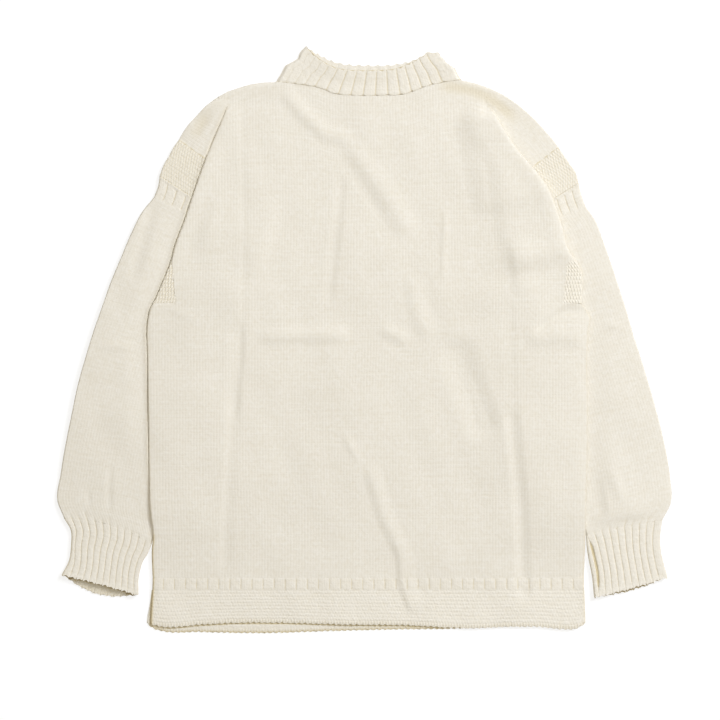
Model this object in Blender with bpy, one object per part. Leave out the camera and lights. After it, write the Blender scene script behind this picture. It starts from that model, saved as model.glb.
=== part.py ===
"""Guernsey fisherman sweater, laid flat on its back.

Every piece is a wall of knitted wool. The body's front lies on its back, and both lie on the
sleeves, which pass under the body's sides as pressed tubes. The front is tucked over each
armhole, so that its fold stands proud of the shoulder, the sleeve head and the sleeve.

The tables are in millimetres and MM turns them to metres. X runs to the right as one looks
down on the garment, Y towards the neck and Z up. The origin is on the surface that the
garment lies on, under its middle. Left and right are the looker's.
"""

import bmesh
import bpy
import numpy as np
from math import pi, sin, sqrt

MM = 0.001

# Cloth
WALL = 2.2           # one layer of five-ply wool
AIR = 0.8            # between two layers that lie on each other
SEAM = 0.4           # between two pieces that are knitted on to one another
LIE = WALL + AIR     # underside of the upper layer where nothing lifts it
FLAT = LIE + WALL    # top of two layers
EDGE_ROUND = 4.0     # how far in a folded edge rounds away
RIB_DEPTH = 0.9
GARTER_DEPTH = 0.7
KNOT = 1.4           # how far the knots on ribs stand out of the collar's and cuffs' edges

# Heights of the lines across the body
HEM = -290.0         # panel meets rib band
RIB_FOOT = -305.6    # rib band meets welt
GUSSET_BASE = 44.0
GUSSET_TIP = 96.0
LEFT_BAND_LINE = 221.0    # where the shoulder band's top line meets the left fold
RIGHT_BAND_LINE = 212.0
FOLD_TIP = 286.0     # where both folds over the armholes begin
SHOULDER_ENDS = (302.0, 306.5)    # shoulder line at the left and right folds
BEND_FROM = 150.0    # rows above this one bend towards the shoulder line
WELT_FOOT = -347.0   # mean lower edge of the front welt

# Side of the body and, above the underarm, the fold over the armhole: height, X
LEFT_EDGE = ((-290, -259.5), (-257, -260.5), (-237, -258.6), (-207, -260.5), (-159, -261.7),
             (-86, -263), (-25, -264), (25, -264), (36, -261.5), (50, -255), (69, -247),
             (96, -235.5), (113, -231), (146, -219), (176, -209), (219, -193.8), (260, -176.5),
             (286, -166.5), (320, -166.5))
RIGHT_EDGE = ((-290, 268), (-257, 269), (-196, 270.2), (-135, 272), (-73, 272), (-13, 271.5),
              (12, 273), (27, 275), (35, 271), (44, 265), (60, 265), (76, 265.5), (94, 259),
              (106, 251), (118, 246.5), (136, 242), (158, 235), (185, 224), (209, 206.5),
              (235, 185), (258, 170), (275, 160), (286, 152), (320, 152))

# Shoulder and neckline of the front: X, height
FRONT_TOP = ((-166.5, 302), (-137, 311), (-109, 313.5), (-81, 310.5), (-53, 305.6),
             (-36, 299), (-16, 297), (27, 297), (48, 298.3), (62, 302.6), (76, 308), (93, 312),
             (118, 315.5), (137, 311.5), (152, 306.5))
BACK_TOP = ((-166.5, 302), (-137, 311), (-109, 313.5), (-60, 310), (0, 308), (62, 310),
            (118, 315.5), (137, 311.5), (152, 306.5))

# Outline of each shoulder, from the armhole seam up: X, Y
LEFT_SHOULDER = ((-249.5, 200), (-243.4, 214), (-237.3, 224), (-232.4, 233.6), (-226.3, 243),
                 (-220, 253), (-213, 263), (-203.5, 273), (-195, 282.4), (-180, 294.6))
RIGHT_SHOULDER = ((261, 191.5), (257.5, 204), (250.7, 214), (243.8, 224), (237.3, 233.8),
                  (230, 243.4), (221.5, 253.2), (213, 263), (203, 272.7), (192, 282.4),
                  (172, 297))

# Underside of the body beside its edges, lifted by what lies below: height, front, back
SIDE_LIFT = ((-290, 0, 0), (-278, 1.8, 1.6), (-255, 5.4, 5.3), (-235, 5.8, 5.7), (62, 5.8, 5.6),
             (95, 5.0, 4.3), (150, 3.2, 0), (221, 3.1, 0), (250, 2.0, 0), (286, 0, 0),
             (320, 0, 0))
# Width that stays lifted before the cloth falls to the layer below: height, width
LIFTED_WIDTH = ((-290, 6), (-255, 10), (-200, 27), (-119, 41), (-50, 51), (12, 55), (44, 60), (60, 60),
                (98, 42), (150, 26), (221, 14), (286, 6), (320, 6))
FRONT_FALL = 58.0
BACK_FALL = 44.0
# Layers tucked in behind each fold, which thicken it: height, added thickness
TUCK = ((-290, 0), (30, 0), (60, 0.4), (100, 1.6), (150, 2.2), (215, 2.0), (255, 1.0),
        (286, 0), (320, 0))
TUCK_WIDTH = 30.0

# Creases: rise (below 0 for a trough), half width, then the points of its line
BODY_CREASES = (
    (-1.3, 7, ((-98, 288), (-52, 252), (-24, 231))),
    (-1.5, 8, ((-24, 231), (-4, 203), (13, 170), (42, 131))),
    (1.2, 9, ((-14, 243), (10, 205), (30, 172), (54, 142))),
    (-1.4, 7, ((47, 92), (53, 42), (63, 8))),
    (-1.6, 11, ((113, 2), (138, -52), (161, -106))),
    (1.3, 10, ((176, 95), (179, 20), (172, -76))),
    (-1.5, 10, ((162, 150), (184, 64))),
    (-1.0, 7, ((190, -70), (190, -180), (194, -280))),
    (1.7, 9, ((2, -125), (36, -205), (62, -292))),
    (-1.4, 8, ((6, -176), (32, -255), (54, -322))),
    (0.8, 9, ((-29, 210), (-33, 36))),
    (0.7, 7, ((96, 172), (91, 58))),
    (-0.9, 6, ((-146, 270), (-149, 60), (-158, -120), (-164, -288))),
    (0.8, 7, ((-159, 262), (-162, 60), (-172, -140), (-178, -288))),
    (-0.9, 7, ((-250, -8), (-90, -4), (-30, -3))),
    (-1.0, 7, ((8, -5), (70, -4))),
    (-1.0, 8, ((200, -4), (268, -6))),
    (1.2, 14, ((222, 18), (268, 16))),
    (-1.0, 7, ((-192, 284), (-204, 262), (-220, 238))),
    (-1.4, 6, ((122, 305), (148, 298.5), (166, 289), (186, 270))),
)
SLEEVE_CREASES = (
    (-1.5, 8, ((-246, 170), (-254, 136), (-264, 100), (-270, 66))),
    (0.8, 8, ((-328, -7), (-268, -10))),
    (-1.2, 6, ((-336, -190), (-333, -212))),
    (-1.6, 8, ((287, -172), (302, -214))),
    (1.2, 8, ((300, -150), (318, -206))),
    (0.8, 8, ((283, 20), (322, 14))),
)
FADE = 22.0          # length over which a crease begins and ends

# Sections of each sleeve, from head to cuff: outer X, outer Y, inner X, inner Y, bow, puff
LEFT_SLEEVE = (
    (-255.8, 173.6, -201.9, 143.8, 0, 0.0), (-270.2, 155.6, -202, 123.8, 0, 0.4),
    (-284, 128.7, -204.4, 98.2, 0, 0.8), (-296.4, 99.4, -208, 70.2, 0, 1.0),
    (-308.6, 70.2, -214.1, 42.1, 0, 1.0), (-319.8, 38.4, -219, 11.6, 0, 1.0),
    (-330, 9.2, -220.8, -17.7, 0, 1.0), (-339, -20.1, -222.7, -47, 0, 1.0),
    (-348.6, -54.3, -226.3, -79.9, 0, 1.2), (-356.8, -93.3, -231.2, -119, 0, 1.4),
    (-364.2, -129.9, -237.3, -156.8, -1, 1.8), (-369.8, -164.1, -244.6, -192.2, -3, 2.4),
    (-373.8, -196, -251.5, -221.4, -6, 2.8), (-365.4, -217.6, -261, -247.8, -8, 1.2))
RIGHT_SLEEVE = (
    (270.2, 161.5, 222.7, 143.2, 0, 0.0), (281.4, 145.8, 219, 120.2, 0, 0.4),
    (291.4, 120.2, 220.2, 93.3, 0, 0.8), (301, 93.3, 221.4, 65.3, 0, 1.0),
    (310.6, 64.1, 222.7, 37.2, 0, 1.0), (320.4, 33.6, 225.1, 7.9, 0, 1.0),
    (329.2, 3.1, 226.3, -21.4, 0, 1.0), (339, -27.5, 228.8, -51.9, 0, 1.0),
    (348.6, -59.2, 233.6, -84.8, 0, 1.2), (358.4, -94.6, 239.7, -121.4, 0, 1.4),
    (367, -131.2, 248.3, -158, 0, 1.8), (372.8, -166.5, 256.8, -192.2, -1, 2.4),
    (373.8, -199.5, 265.4, -220.2, -1, 2.8), (363.4, -219.8, 270.2, -238.5, -1, 1.2))

# Sections of each cuff: outer X, outer Y, inner X, inner Y, bow, height, back layer's reach
LEFT_CUFF = (
    (-365.4, -218.4, -261.5, -248.4, -8, 6.0, 0), (-357.4, -232, -265, -260.5, -6, 6.4, 0),
    (-357, -252, -270.4, -273, -4, 7.0, 2), (-359, -268, -274.5, -290, -2, 7.8, 6),
    (-367.6, -285.6, -274.6, -310.2, -1, 9.0, 13))
RIGHT_CUFF = (
    (363.4, -220.6, 270.2, -239.3, -1, 6.0, 0), (361, -236, 271.4, -254.4, -1, 6.4, 0),
    (361, -252, 273.5, -268, 0, 6.8, 1), (364, -269, 277.5, -288, 0, 7.2, 2),
    (369.4, -288.5, 280, -313.4, 1, 8.0, 3))
LEFT_CUFF_RIBS = 12
RIGHT_CUFF_RIBS = 11

# Armhole seams: outline end X, Y, then an end hidden under the fold
LEFT_ARMHOLE = ((-249, 199.5), (-193.4, 162.9))
RIGHT_ARMHOLE = ((261.2, 190.8), (215.3, 162.6))
# Sections of each sleeve head below its seam: outer X, outer Y, inner X, inner Y
LEFT_HEAD = ((-251.2, 186, -198.3, 152.6), (-255.6, 174.4, -201.9, 144.6))
RIGHT_HEAD = ((264.7, 176.3, 219, 152), (270, 162.3, 222.7, 144))
HEAD_RIBS = 5
# Shoulder bands: outline end and hidden end of the top line
LEFT_BAND_TOP = ((-226, 242.6), (-188.5, 215.6))
RIGHT_BAND_TOP = ((237.4, 233.8), (201.5, 206))
BAND_RIDGES = 8

# Side of the back, which steps in above the underarm to lie beside the sleeve: height, X
BACK_LEFT = ((-290, -259), (-257, -260), (-237, -258), (-207, -260), (-86, -262.5), (22, -263.5),
             (31, -261), (44, -240), (60, -206.5), (70, -205), (98, -201.5), (124, -199),
             (144, -198.5), (153, -195), (163.4, -191.8), (221, -182), (286, -166.5),
             (320, -166.5))
BACK_RIGHT = ((-290, 267.5), (-257, 268.5), (-135, 271.5), (-13, 271), (12, 272.5), (26, 274),
              (32, 268), (44, 246), (60, 219), (93, 217.5), (120, 216.5), (144, 216.5),
              (153, 215), (163.2, 213), (212, 196), (286, 152), (320, 152))

# Neck: ends of the collar's base on the neckline, then its upper edges as X, Y
COLLAR_BASE_ENDS = (-107.5, 118.5)
COLLAR_FRONT_TOP = ((-71, 356.9), (-61.6, 346), (-48.2, 336.1), (-33.6, 329), (-13, 326.4),
                    (13, 326.4), (37, 328), (58, 336.1), (69, 342.2), (78.7, 347),
                    (89.7, 348.3), (93.3, 346))
COLLAR_BACK_TOP = ((-71, 356.9), (-61, 350), (-54, 346), (-35, 337.5), (-22, 334.8),
                   (0, 333.6), (37, 334.6), (58, 339), (69, 344), (79, 349.6), (93.3, 346))
# Sides of the collar, as distances from straight ones: share of its height, left, right
COLLAR_SIDES = ((0, 0, 0), (0.3, -3, 2), (0.47, -5.4, 4.2), (0.67, 2.2, 0.8), (1, 0, 0))
COLLAR_RIBS = 16
# The ribs crowd towards the left: share of the ribs, share of the way along the collar
COLLAR_SPREAD = ((0, 0), (0.25, 0.21), (0.5, 0.47), (0.75, 0.738), (1, 1))

# Split hem: X, height of the welts' lower edges
FRONT_WELT_FOOT = ((-261, -345.9), (-246, -350.6), (-199.5, -348.3), (-155.6, -345.9),
                   (-102, -345.9), (-16.5, -348.3), (56.7, -348.3), (93, -349.5), (130, -350.8),
                   (180, -348.9), (218, -349.5), (242, -352), (259, -350.8), (269.5, -345))
BACK_WELT_FOOT = ((-264.5, -345), (-259, -350), (-246, -354.4), (-203, -355.6), (-121, -356.9),
                  (-40, -354.4), (50, -352.3), (93, -352), (136, -350.5), (190, -348),
                  (268, -344))
WELT_RIDGES = 10
WELT_COLUMNS = 16
HEM_RIBS = 39

CREAM = (0.845, 0.800, 0.700, 1.0)


def clear_scene():
    for item in list(bpy.data.objects):
        bpy.data.objects.remove(item)


def ease(t):
    """0 to 1 with a level start and end."""
    t = min(max(t, 0.0), 1.0)
    return t * t * (3.0 - 2.0 * t)


def mix(a, b, t):
    return a + (b - a) * t


def smooth_line(rows):
    """A smooth function through rows of (place, value)."""
    place, value = np.array(rows, float).T
    slope = np.gradient(value, place)

    def read(at):
        at = min(max(at, place[0]), place[-1])
        i = min(int(np.searchsorted(place, at, side="right")) - 1, len(place) - 2)
        span = place[i + 1] - place[i]
        t = (at - place[i]) / span
        start = (1 + 2 * t) * (1 - t) ** 2 * value[i] + t * (1 - t) ** 2 * span * slope[i]
        end = t * t * (3 - 2 * t) * value[i + 1] + t * t * (t - 1) * span * slope[i + 1]
        return float(start + end)

    return read


def straight_line(rows):
    """A function through rows of (place, value) with straight runs between them."""
    place, value = np.array(rows, float).T
    return lambda at: float(np.interp(at, place, value))


def smooth_path(points):
    """A smooth curve through points, read by the share of its length from 0 to 1."""
    points = np.array(points, float)
    steps = np.hypot(*np.diff(points, axis=0).T)
    share = np.concatenate([[0.0], np.cumsum(steps)]) / steps.sum()
    across = smooth_line(np.column_stack([share, points[:, 0]]))
    along = smooth_line(np.column_stack([share, points[:, 1]]))
    return lambda t: (across(t), along(t))


left_edge = smooth_line(LEFT_EDGE)
right_edge = smooth_line(RIGHT_EDGE)
front_lift = straight_line([(row[0], row[1]) for row in SIDE_LIFT])
back_lift = straight_line([(row[0], row[2]) for row in SIDE_LIFT])
lifted_width = straight_line(LIFTED_WIDTH)
tuck = straight_line(TUCK)


def crease_depth(x, y, creases):
    """Height that all creases together add at a point."""
    total = 0.0
    for rise, half_width, points in creases:
        lengths = [np.hypot(b[0] - a[0], b[1] - a[1]) for a, b in zip(points, points[1:])]
        whole = sum(lengths)
        gone = 0.0
        nearest = half_width
        place = 0.0
        for (ax, ay), (bx, by), length in zip(points, points[1:], lengths):
            t = ((x - ax) * (bx - ax) + (y - ay) * (by - ay)) / length ** 2
            t = min(max(t, 0.0), 1.0)
            away = sqrt((x - mix(ax, bx, t)) ** 2 + (y - mix(ay, by, t)) ** 2)
            if away < nearest:
                nearest = away
                place = gone + t * length
            gone += length
        end_fade = ease(min(place, whole - place) / min(FADE, whole / 2))
        total += rise * end_fade * ease(1.0 - nearest / half_width)
    return total


def from_edge(x, y):
    """Distance in from the nearer side of the front, fold or body edge."""
    return min(x - left_edge(y), right_edge(y) - x)


def lifted(inward, y, lift, fall):
    """How far a layer is raised by the sleeve or shoulder below it."""
    return lift(y) * (1.0 - ease((inward - lifted_width(y)) / fall))


def front_crease(x, y):
    return crease_depth(x, y, BODY_CREASES) * ease(from_edge(x, y) / 14.0)


def front_under(x, y):
    inward = max(from_edge(x, y), 0.0)
    clear = WALL + mix(SEAM, AIR, ease(inward / 8.0))
    crease = front_crease(x, y)
    return clear + lifted(inward, y, front_lift, FRONT_FALL) + (crease if crease > 0 else 0.3 * crease)


def front_top(x, y):
    """Outer face of the front. It rounds down to a thin rim at a folded edge."""
    inward = max(from_edge(x, y), 0.0)
    thick = WALL + tuck(y) * (1.0 - ease(inward / TUCK_WIDTH))
    full = LIE + lifted(inward, y, front_lift, FRONT_FALL) + thick + max(front_crease(x, y), -1.5)
    rim = max(WALL + SEAM + front_lift(y) + 0.7, FLAT if y > RIGHT_BAND_LINE else 0.0)
    turn = 1.0 - min(inward / EDGE_ROUND, 1.0)
    return mix(rim, full, sqrt(1.0 - turn * turn))


def shoulder_top(x, y):
    """Outer face of the cloth outside the folds."""
    return FLAT + max(crease_depth(x, y, BODY_CREASES), -1.2)


def make_material(name, shade):
    material = bpy.data.materials.new(name)
    material.use_nodes = True
    surface = material.node_tree.nodes["Principled BSDF"]
    surface.inputs["Base Color"].default_value = [shade * part for part in CREAM[:3]] + [1.0]
    surface.inputs["Roughness"].default_value = 0.92
    surface.inputs["Metallic"].default_value = 0.0
    surface.inputs["Sheen Weight"].default_value = 0.3
    return material


def cloth_wall(name, outer, inner, around=False, present=None, shade=1.0):
    """A closed wall between two grids of points: rows of outer and of inner points.

    around joins the last point of each row to the first. present(row, column) leaves cells
    out, and a rim closes the wall wherever a cell has no neighbour.
    """
    rows = len(outer) - 1
    count = len(outer[0])
    columns = count if around else count - 1
    mesh = bmesh.new()
    made = {}

    def corner(face, row, column):
        key = (face, row, column % count)
        if key not in made:
            made[key] = mesh.verts.new([MM * part for part in (outer, inner)[face][row][key[2]]])
        return made[key]

    def has(row, column):
        if around:
            column %= count
        inside = 0 <= row < rows and 0 <= column < columns
        return inside and (present is None or present(row, column))

    for row in range(rows):
        for column in range(columns):
            if not has(row, column):
                continue
            ring = ((row, column), (row, column + 1), (row + 1, column + 1), (row + 1, column))
            mesh.faces.new([corner(0, *place) for place in ring])
            mesh.faces.new([corner(1, *place) for place in reversed(ring)])
            beyond = ((row - 1, column), (row, column + 1), (row + 1, column), (row, column - 1))
            for side in range(4):
                if not has(*beyond[side]):
                    start, end = ring[side], ring[(side + 1) % 4]
                    mesh.faces.new([corner(0, *end), corner(0, *start),
                                    corner(1, *start), corner(1, *end)])
    bmesh.ops.recalc_face_normals(mesh, faces=mesh.faces)
    data = bpy.data.meshes.new(name)
    mesh.to_mesh(data)
    mesh.free()
    data.shade_smooth()
    data.set_sharp_from_angle(angle=pi / 4)
    data.materials.append(make_material(name.replace("_", " ") + " wool", shade))
    piece = bpy.data.objects.new(name, data)
    bpy.data.collections["guernsey sweater"].objects.link(piece)
    return piece


def spread(key_rows):
    """Places between key rows of (place..., steps to the next)."""
    places = []
    for row, following in zip(key_rows, key_rows[1:]):
        steps = row[-1]
        for step in range(steps):
            places.append([mix(a, b, step / steps) for a, b in zip(row[:-1], following[:-1])])
    places.append(list(key_rows[-1][:-1]))
    return places


# Rows of the front: height at its left edge, height at its right edge, steps to the next
FRONT_ROWS = ((HEM, HEM, 16), (GUSSET_BASE, GUSSET_BASE, 3), (GUSSET_TIP, GUSSET_TIP, 6),
              (LEFT_BAND_LINE, RIGHT_BAND_LINE, 3), (FOLD_TIP, FOLD_TIP, 1), (*SHOULDER_ENDS, 0))
EDGE_STEPS = (0, 1.2, 3.6, 9, 20)    # columns beside each edge, as distances from it
MIDDLE_COLUMNS = 23
WING_COLUMNS = 4
LEFT_GUSSET_SEAM = ((GUSSET_BASE, -228.3), (GUSSET_TIP, -233.2))
RIGHT_GUSSET_SEAM = ((GUSSET_BASE, 241), (GUSSET_TIP, 247))
NOTCH = len(EDGE_STEPS) - 1          # column that follows the gusset's seam


def bent_height(x, low, share, top):
    """Height of a row at X: rows near the top take the shoulder line's shape."""
    bend = ease((low - BEND_FROM) / (FOLD_TIP - BEND_FROM))
    return low + bend * (top(x) - mix(*SHOULDER_ENDS, share))


def edge_columns(edge, seam, low, inwards):
    """X of the columns beside one edge."""
    at = edge(low)
    steps = EDGE_STEPS
    if GUSSET_BASE - 1 <= low <= GUSSET_TIP + 1:
        reach = abs(straight_line(seam)(low) - at)
        steps = [step * reach / EDGE_STEPS[-1] for step in EDGE_STEPS]
    return [at + inwards * step for step in steps]


def make_front():
    top = smooth_line(FRONT_TOP)
    wings = (wing_points(LEFT_SHOULDER, LEFT_BAND_TOP[0]),
             wing_points(RIGHT_SHOULDER, RIGHT_BAND_TOP[0]))
    heights = spread(FRONT_ROWS)
    band_row = FRONT_ROWS[0][2] + FRONT_ROWS[1][2] + FRONT_ROWS[2][2]
    notch_rows = range(FRONT_ROWS[0][2], FRONT_ROWS[0][2] + FRONT_ROWS[1][2])
    last = len(heights) - 1
    outer, inner = [], []
    for number, (low_left, low_right) in enumerate(heights):
        left = edge_columns(left_edge, LEFT_GUSSET_SEAM, low_left, 1)
        right = edge_columns(right_edge, RIGHT_GUSSET_SEAM, low_right, -1)
        middle = [mix(left[-1], right[-1], step / MIDDLE_COLUMNS)
                  for step in range(1, MIDDLE_COLUMNS)]
        across = left + middle + right[::-1]
        body_outer, body_inner = [], []
        for x in across:
            share = (x - across[0]) / (across[-1] - across[0])
            y = bent_height(x, mix(low_left, low_right, share), share, top)
            under = front_under(x, y)
            if number > band_row:
                joined = ease(min(x - across[0], across[-1] - x) / 9.0)
                under = mix(LIE, under, joined)
            body_outer.append((x, y, front_top(x, y)))
            body_inner.append((x, y, under))
        climb = max(number - band_row, 0) / (last - band_row)
        ends = []
        for side, edge_point in ((0, body_outer[0]), (1, body_outer[-1])):
            ends.append(wing_row(wings[side](climb), edge_point, 1 if side == 0 else -1))
        outer.append([point for point in ends[0]] + body_outer + ends[1][::-1])
        inner.append([(x, y, LIE) for x, y, z in ends[0]] + body_inner
                     + [(x, y, LIE) for x, y, z in ends[1][::-1]])
    columns = len(outer[0]) - 1

    def present(row, column):
        from_side = min(column, columns - 1 - column)
        if from_side < WING_COLUMNS + 1:
            return row >= band_row
        return row not in notch_rows or from_side >= WING_COLUMNS + 1 + NOTCH

    cloth_wall("front_panel", outer, inner, present=present)


def wing_points(outline, band_end):
    """Outline of the shoulder above its band, from 0 at the band to 1 by the neck."""
    start = [point for point in outline if point[1] > band_end[1] + 2]
    return smooth_path([(band_end[0], band_end[1] + SEAM)] + start)


def wing_row(out, edge_point, inwards):
    """Points from the outline to the crease under the fold's lip."""
    x, y, z = edge_point
    step = min(max(z - FLAT, 0.0) / 1.2, 1.0)
    crease_x = x + inwards * mix(-2.5, 0.9, step)
    points = []
    for column in range(WING_COLUMNS + 1):
        t = column / WING_COLUMNS
        px, py = mix(out[0], crease_x, t), mix(out[1], y, t)
        points.append((px, py, shoulder_top(px, py)))
    return points


BACK_STEPS = (0, 5, 18, 36, 54, 69, 84, 102)    # columns of the back beside each edge


def make_back():
    top = smooth_line(BACK_TOP)
    left_side, right_side = straight_line(BACK_LEFT), straight_line(BACK_RIGHT)
    seams = (offset_seam(LEFT_ARMHOLE, 1), offset_seam(RIGHT_ARMHOLE, 1))
    paths = (smooth_path([seams[0][0]] + list(LEFT_SHOULDER[1:])),
             smooth_path([seams[1][0]] + list(RIGHT_SHOULDER[1:])))
    rows = ((HEM, HEM, 2), (-240, -240, 9), (22, 24, 1), (31, 32, 1), (44, 44, 1), (60, 60, 4),
            (seams[0][1][1], seams[1][1][1], 5), (FOLD_TIP, FOLD_TIP, 1), (*SHOULDER_ENDS, 0))
    heights = spread(rows)
    seam_row = sum(row[2] for row in rows[:6])
    last = len(heights) - 1
    outer, inner = [], []
    for number, (low_left, low_right) in enumerate(heights):
        start, end = left_side(low_left), right_side(low_right)
        if number == seam_row:
            start, end = seams[0][1][0], seams[1][1][0]
        body = []
        side = [step / (end - start) for step in BACK_STEPS]
        centre = [mix(side[-1], 1 - side[-1], step / 5) for step in range(1, 5)]
        for share in side + centre + [1 - share for share in side[::-1]]:
            x = mix(start, end, share)
            y = bent_height(x, mix(low_left, low_right, share), share, top)
            body.append((x, y, lifted(max(from_edge(x, y), 0.0), y, back_lift, BACK_FALL)))
        climb = max(number - seam_row, 0) / (last - seam_row)
        ends = []
        for path, point in ((paths[0], body[0]), (paths[1], body[-1])):
            out = path(climb)
            ends.append([(mix(out[0], point[0], t / 3), mix(out[1], point[1], t / 3), 0.0)
                         for t in range(3)])
        row = ends[0] + body + ends[1][::-1]
        inner.append(row)
        outer.append([(x, y, z + WALL) for x, y, z in row])
    columns = len(outer[0]) - 1
    cloth_wall("back_panel", outer, inner, shade=0.97,
               present=lambda row, column: row >= seam_row or 3 <= column < columns - 3)


def offset_seam(ends, side):
    """The ends of a seam line moved half a seam's clearance up (1) or down (-1)."""
    (ax, ay), (bx, by) = ends
    length = np.hypot(bx - ax, by - ay)
    normal = (-(by - ay) / length, (bx - ax) / length)
    if normal[1] < 0:
        normal = (-normal[0], -normal[1])
    shift = side * SEAM / 2
    return [(x + normal[0] * shift, y + normal[1] * shift) for x, y in ends]


def rib_columns(count):
    """Shares across a run of ribs with, for each, 0 in a groove and 1 on a ridge."""
    columns = []
    for rib in range(count):
        columns += [(rib / count, 0), ((rib + 0.24) / count, 1), ((rib + 0.76) / count, 1)]
    return columns + [(1.0, 0)]


def tube_ring(outer_end, inner_end, bow, height, top_columns, rise, reach=0.0, knot=0.0):
    """Outer and inner points round a pressed tube, from its left end over the top and back.

    bow shifts the ring's middle along the tube, rise(x, y, share) adds height to the upper
    layer, knot moves its ridges along the tube and reach moves the lower layer so.
    """
    a, b = (outer_end, inner_end) if outer_end[0] < inner_end[0] else (inner_end, outer_end)
    width = np.hypot(b[0] - a[0], b[1] - a[1])
    ex, ey = (b[0] - a[0]) / width, (b[1] - a[1]) / width
    nx, ny = ey, -ex
    half = height / 2
    gap = max(half - WALL, 0.3)

    def place(s, shift=0.0):
        f = s / width
        along = bow * 4 * f * (1 - f) + shift
        return a[0] + ex * s + nx * along, a[1] + ey * s + ny * along

    outer, inner = [], []

    def add(s, z, inner_s, inner_z, shift=0.0):
        outer.append((*place(s, shift), z))
        inner.append((*place(inner_s, shift), inner_z))

    quarter = 0.3 * half
    add(0, half, WALL, half)
    add(quarter, half + 0.72 * half, WALL + 0.3 * gap, half + 0.7 * gap)
    for share, ridge in top_columns:
        s = mix(half, width - half, share)
        x, y = place(s)
        lift = rise(x, y, s / width)
        groove = RIB_DEPTH * (1 - ridge)
        s_in = min(max(s, WALL + gap), width - WALL - gap)
        add(s, height - groove + lift, s_in, half + gap + max(lift, 0) * 0.8, knot * ridge)
    add(width - quarter, half + 0.72 * half, width - WALL - 0.3 * gap, half + 0.7 * gap)
    add(width, half, width - WALL, half)
    add(width - quarter, 0.28 * half, width - WALL - 0.3 * gap, half - 0.7 * gap)
    for share in (1.0, 0.75, 0.5, 0.25, 0.0):
        s = mix(half, width - half, share)
        s_in = min(max(s, WALL + gap), width - WALL - gap)
        add(s, 0.0, s_in, half - gap, reach * sin(pi * share))
    add(quarter, 0.28 * half, WALL + 0.3 * gap, half - 0.7 * gap)
    return outer, inner


def beyond_edge(x, y):
    """Distance out from the body's side or fold, where a sleeve shows."""
    return max(left_edge(y) - x, x - right_edge(y))


def make_sleeve(name, sections):
    columns = [(step / 14, 1) for step in range(15)]
    outer, inner = [], []
    for ox, oy, ix, iy, bow, puff in sections:
        def rise(x, y, share, puff=puff):
            shown = ease((beyond_edge(x, y) - 3.0) / 16.0)
            full = puff * sin(pi * share) ** 0.5 + crease_depth(x, y, SLEEVE_CREASES)
            return shown * max(full, -1.2)

        ring = tube_ring((ox, oy), (ix, iy), bow, FLAT, columns, rise)
        outer.append(ring[0])
        inner.append(ring[1])
    cloth_wall(name, outer, inner, around=True)


def make_head(name, sections, seam):
    """Ribbed sleeve head, from the armhole seam to the plain sleeve."""
    outer, inner = [], []
    for ox, oy, ix, iy in ((*seam[0], *seam[1]), *sections):
        def rise(x, y, share):
            return 0.5 * ease(beyond_edge(x, y) / 5.0)

        ring = tube_ring((ox, oy), (ix, iy), 0, FLAT, rib_columns(HEAD_RIBS), rise)
        outer.append(ring[0])
        inner.append(ring[1])
    cloth_wall(name, outer, inner, around=True)


def make_cuff(name, sections, ribs):
    outer, inner = [], []
    for section in sections:
        ox, oy, ix, iy, bow, height, reach = section
        knot = KNOT if section is sections[-1] else 0.0
        ring = tube_ring((ox, oy), (ix, iy), bow, height, rib_columns(ribs),
                         lambda x, y, share: 0.0, reach, knot)
        outer.append(ring[0])
        inner.append(ring[1])
    cloth_wall(name, outer, inner, around=True)


def make_collar():
    front_top_edge, back_top_edge = smooth_path(COLLAR_FRONT_TOP), smooth_path(COLLAR_BACK_TOP)
    front_neck, back_neck = smooth_line(FRONT_TOP), smooth_line(BACK_TOP)

    def front_base(t):
        x = mix(*COLLAR_BASE_ENDS, t)
        return x, front_neck(x) + 2 * SEAM

    def back_base(t):
        x = mix(*COLLAR_BASE_ENDS, t)
        return x, back_neck(x) + 2 * SEAM

    along = smooth_line(COLLAR_SPREAD)
    front_columns = [(along(t), ridge) for t, ridge in rib_columns(COLLAR_RIBS)]
    back_columns = [1 - step / 12 for step in range(1, 12)]
    outer, inner = [], []
    for height, left_swell, right_swell in COLLAR_SIDES:
        def between(base, top, t):
            (ax, ay), (bx, by) = base(t), top(t)
            swell = (left_swell if t < 0.5 else right_swell) * abs(2 * t - 1) ** 3
            return mix(ax, bx, height) + swell, mix(ay, by, height)

        row_outer, row_inner = [], []
        for t, ridge in front_columns:
            x, y = between(front_base, front_top_edge, t)
            y += KNOT * ridge * (height == 1.0)
            if t in (0.0, 1.0):
                inward = WALL if t == 0.0 else -WALL
                row_outer.append((x, y, FLAT / 2))
                row_inner.append((x + inward, y, FLAT / 2))
                continue
            row_outer.append((x, y, FLAT + 0.5 - RIB_DEPTH * (1 - ridge)))
            row_inner.append((x, y, LIE))
        for t in back_columns:
            x, y = between(back_base, back_top_edge, t)
            row_outer.append((x, y, 0.0))
            row_inner.append((x, y, WALL))
        outer.append(row_outer)
        inner.append(row_inner)
    cloth_wall("collar", outer, inner, around=True)


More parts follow.
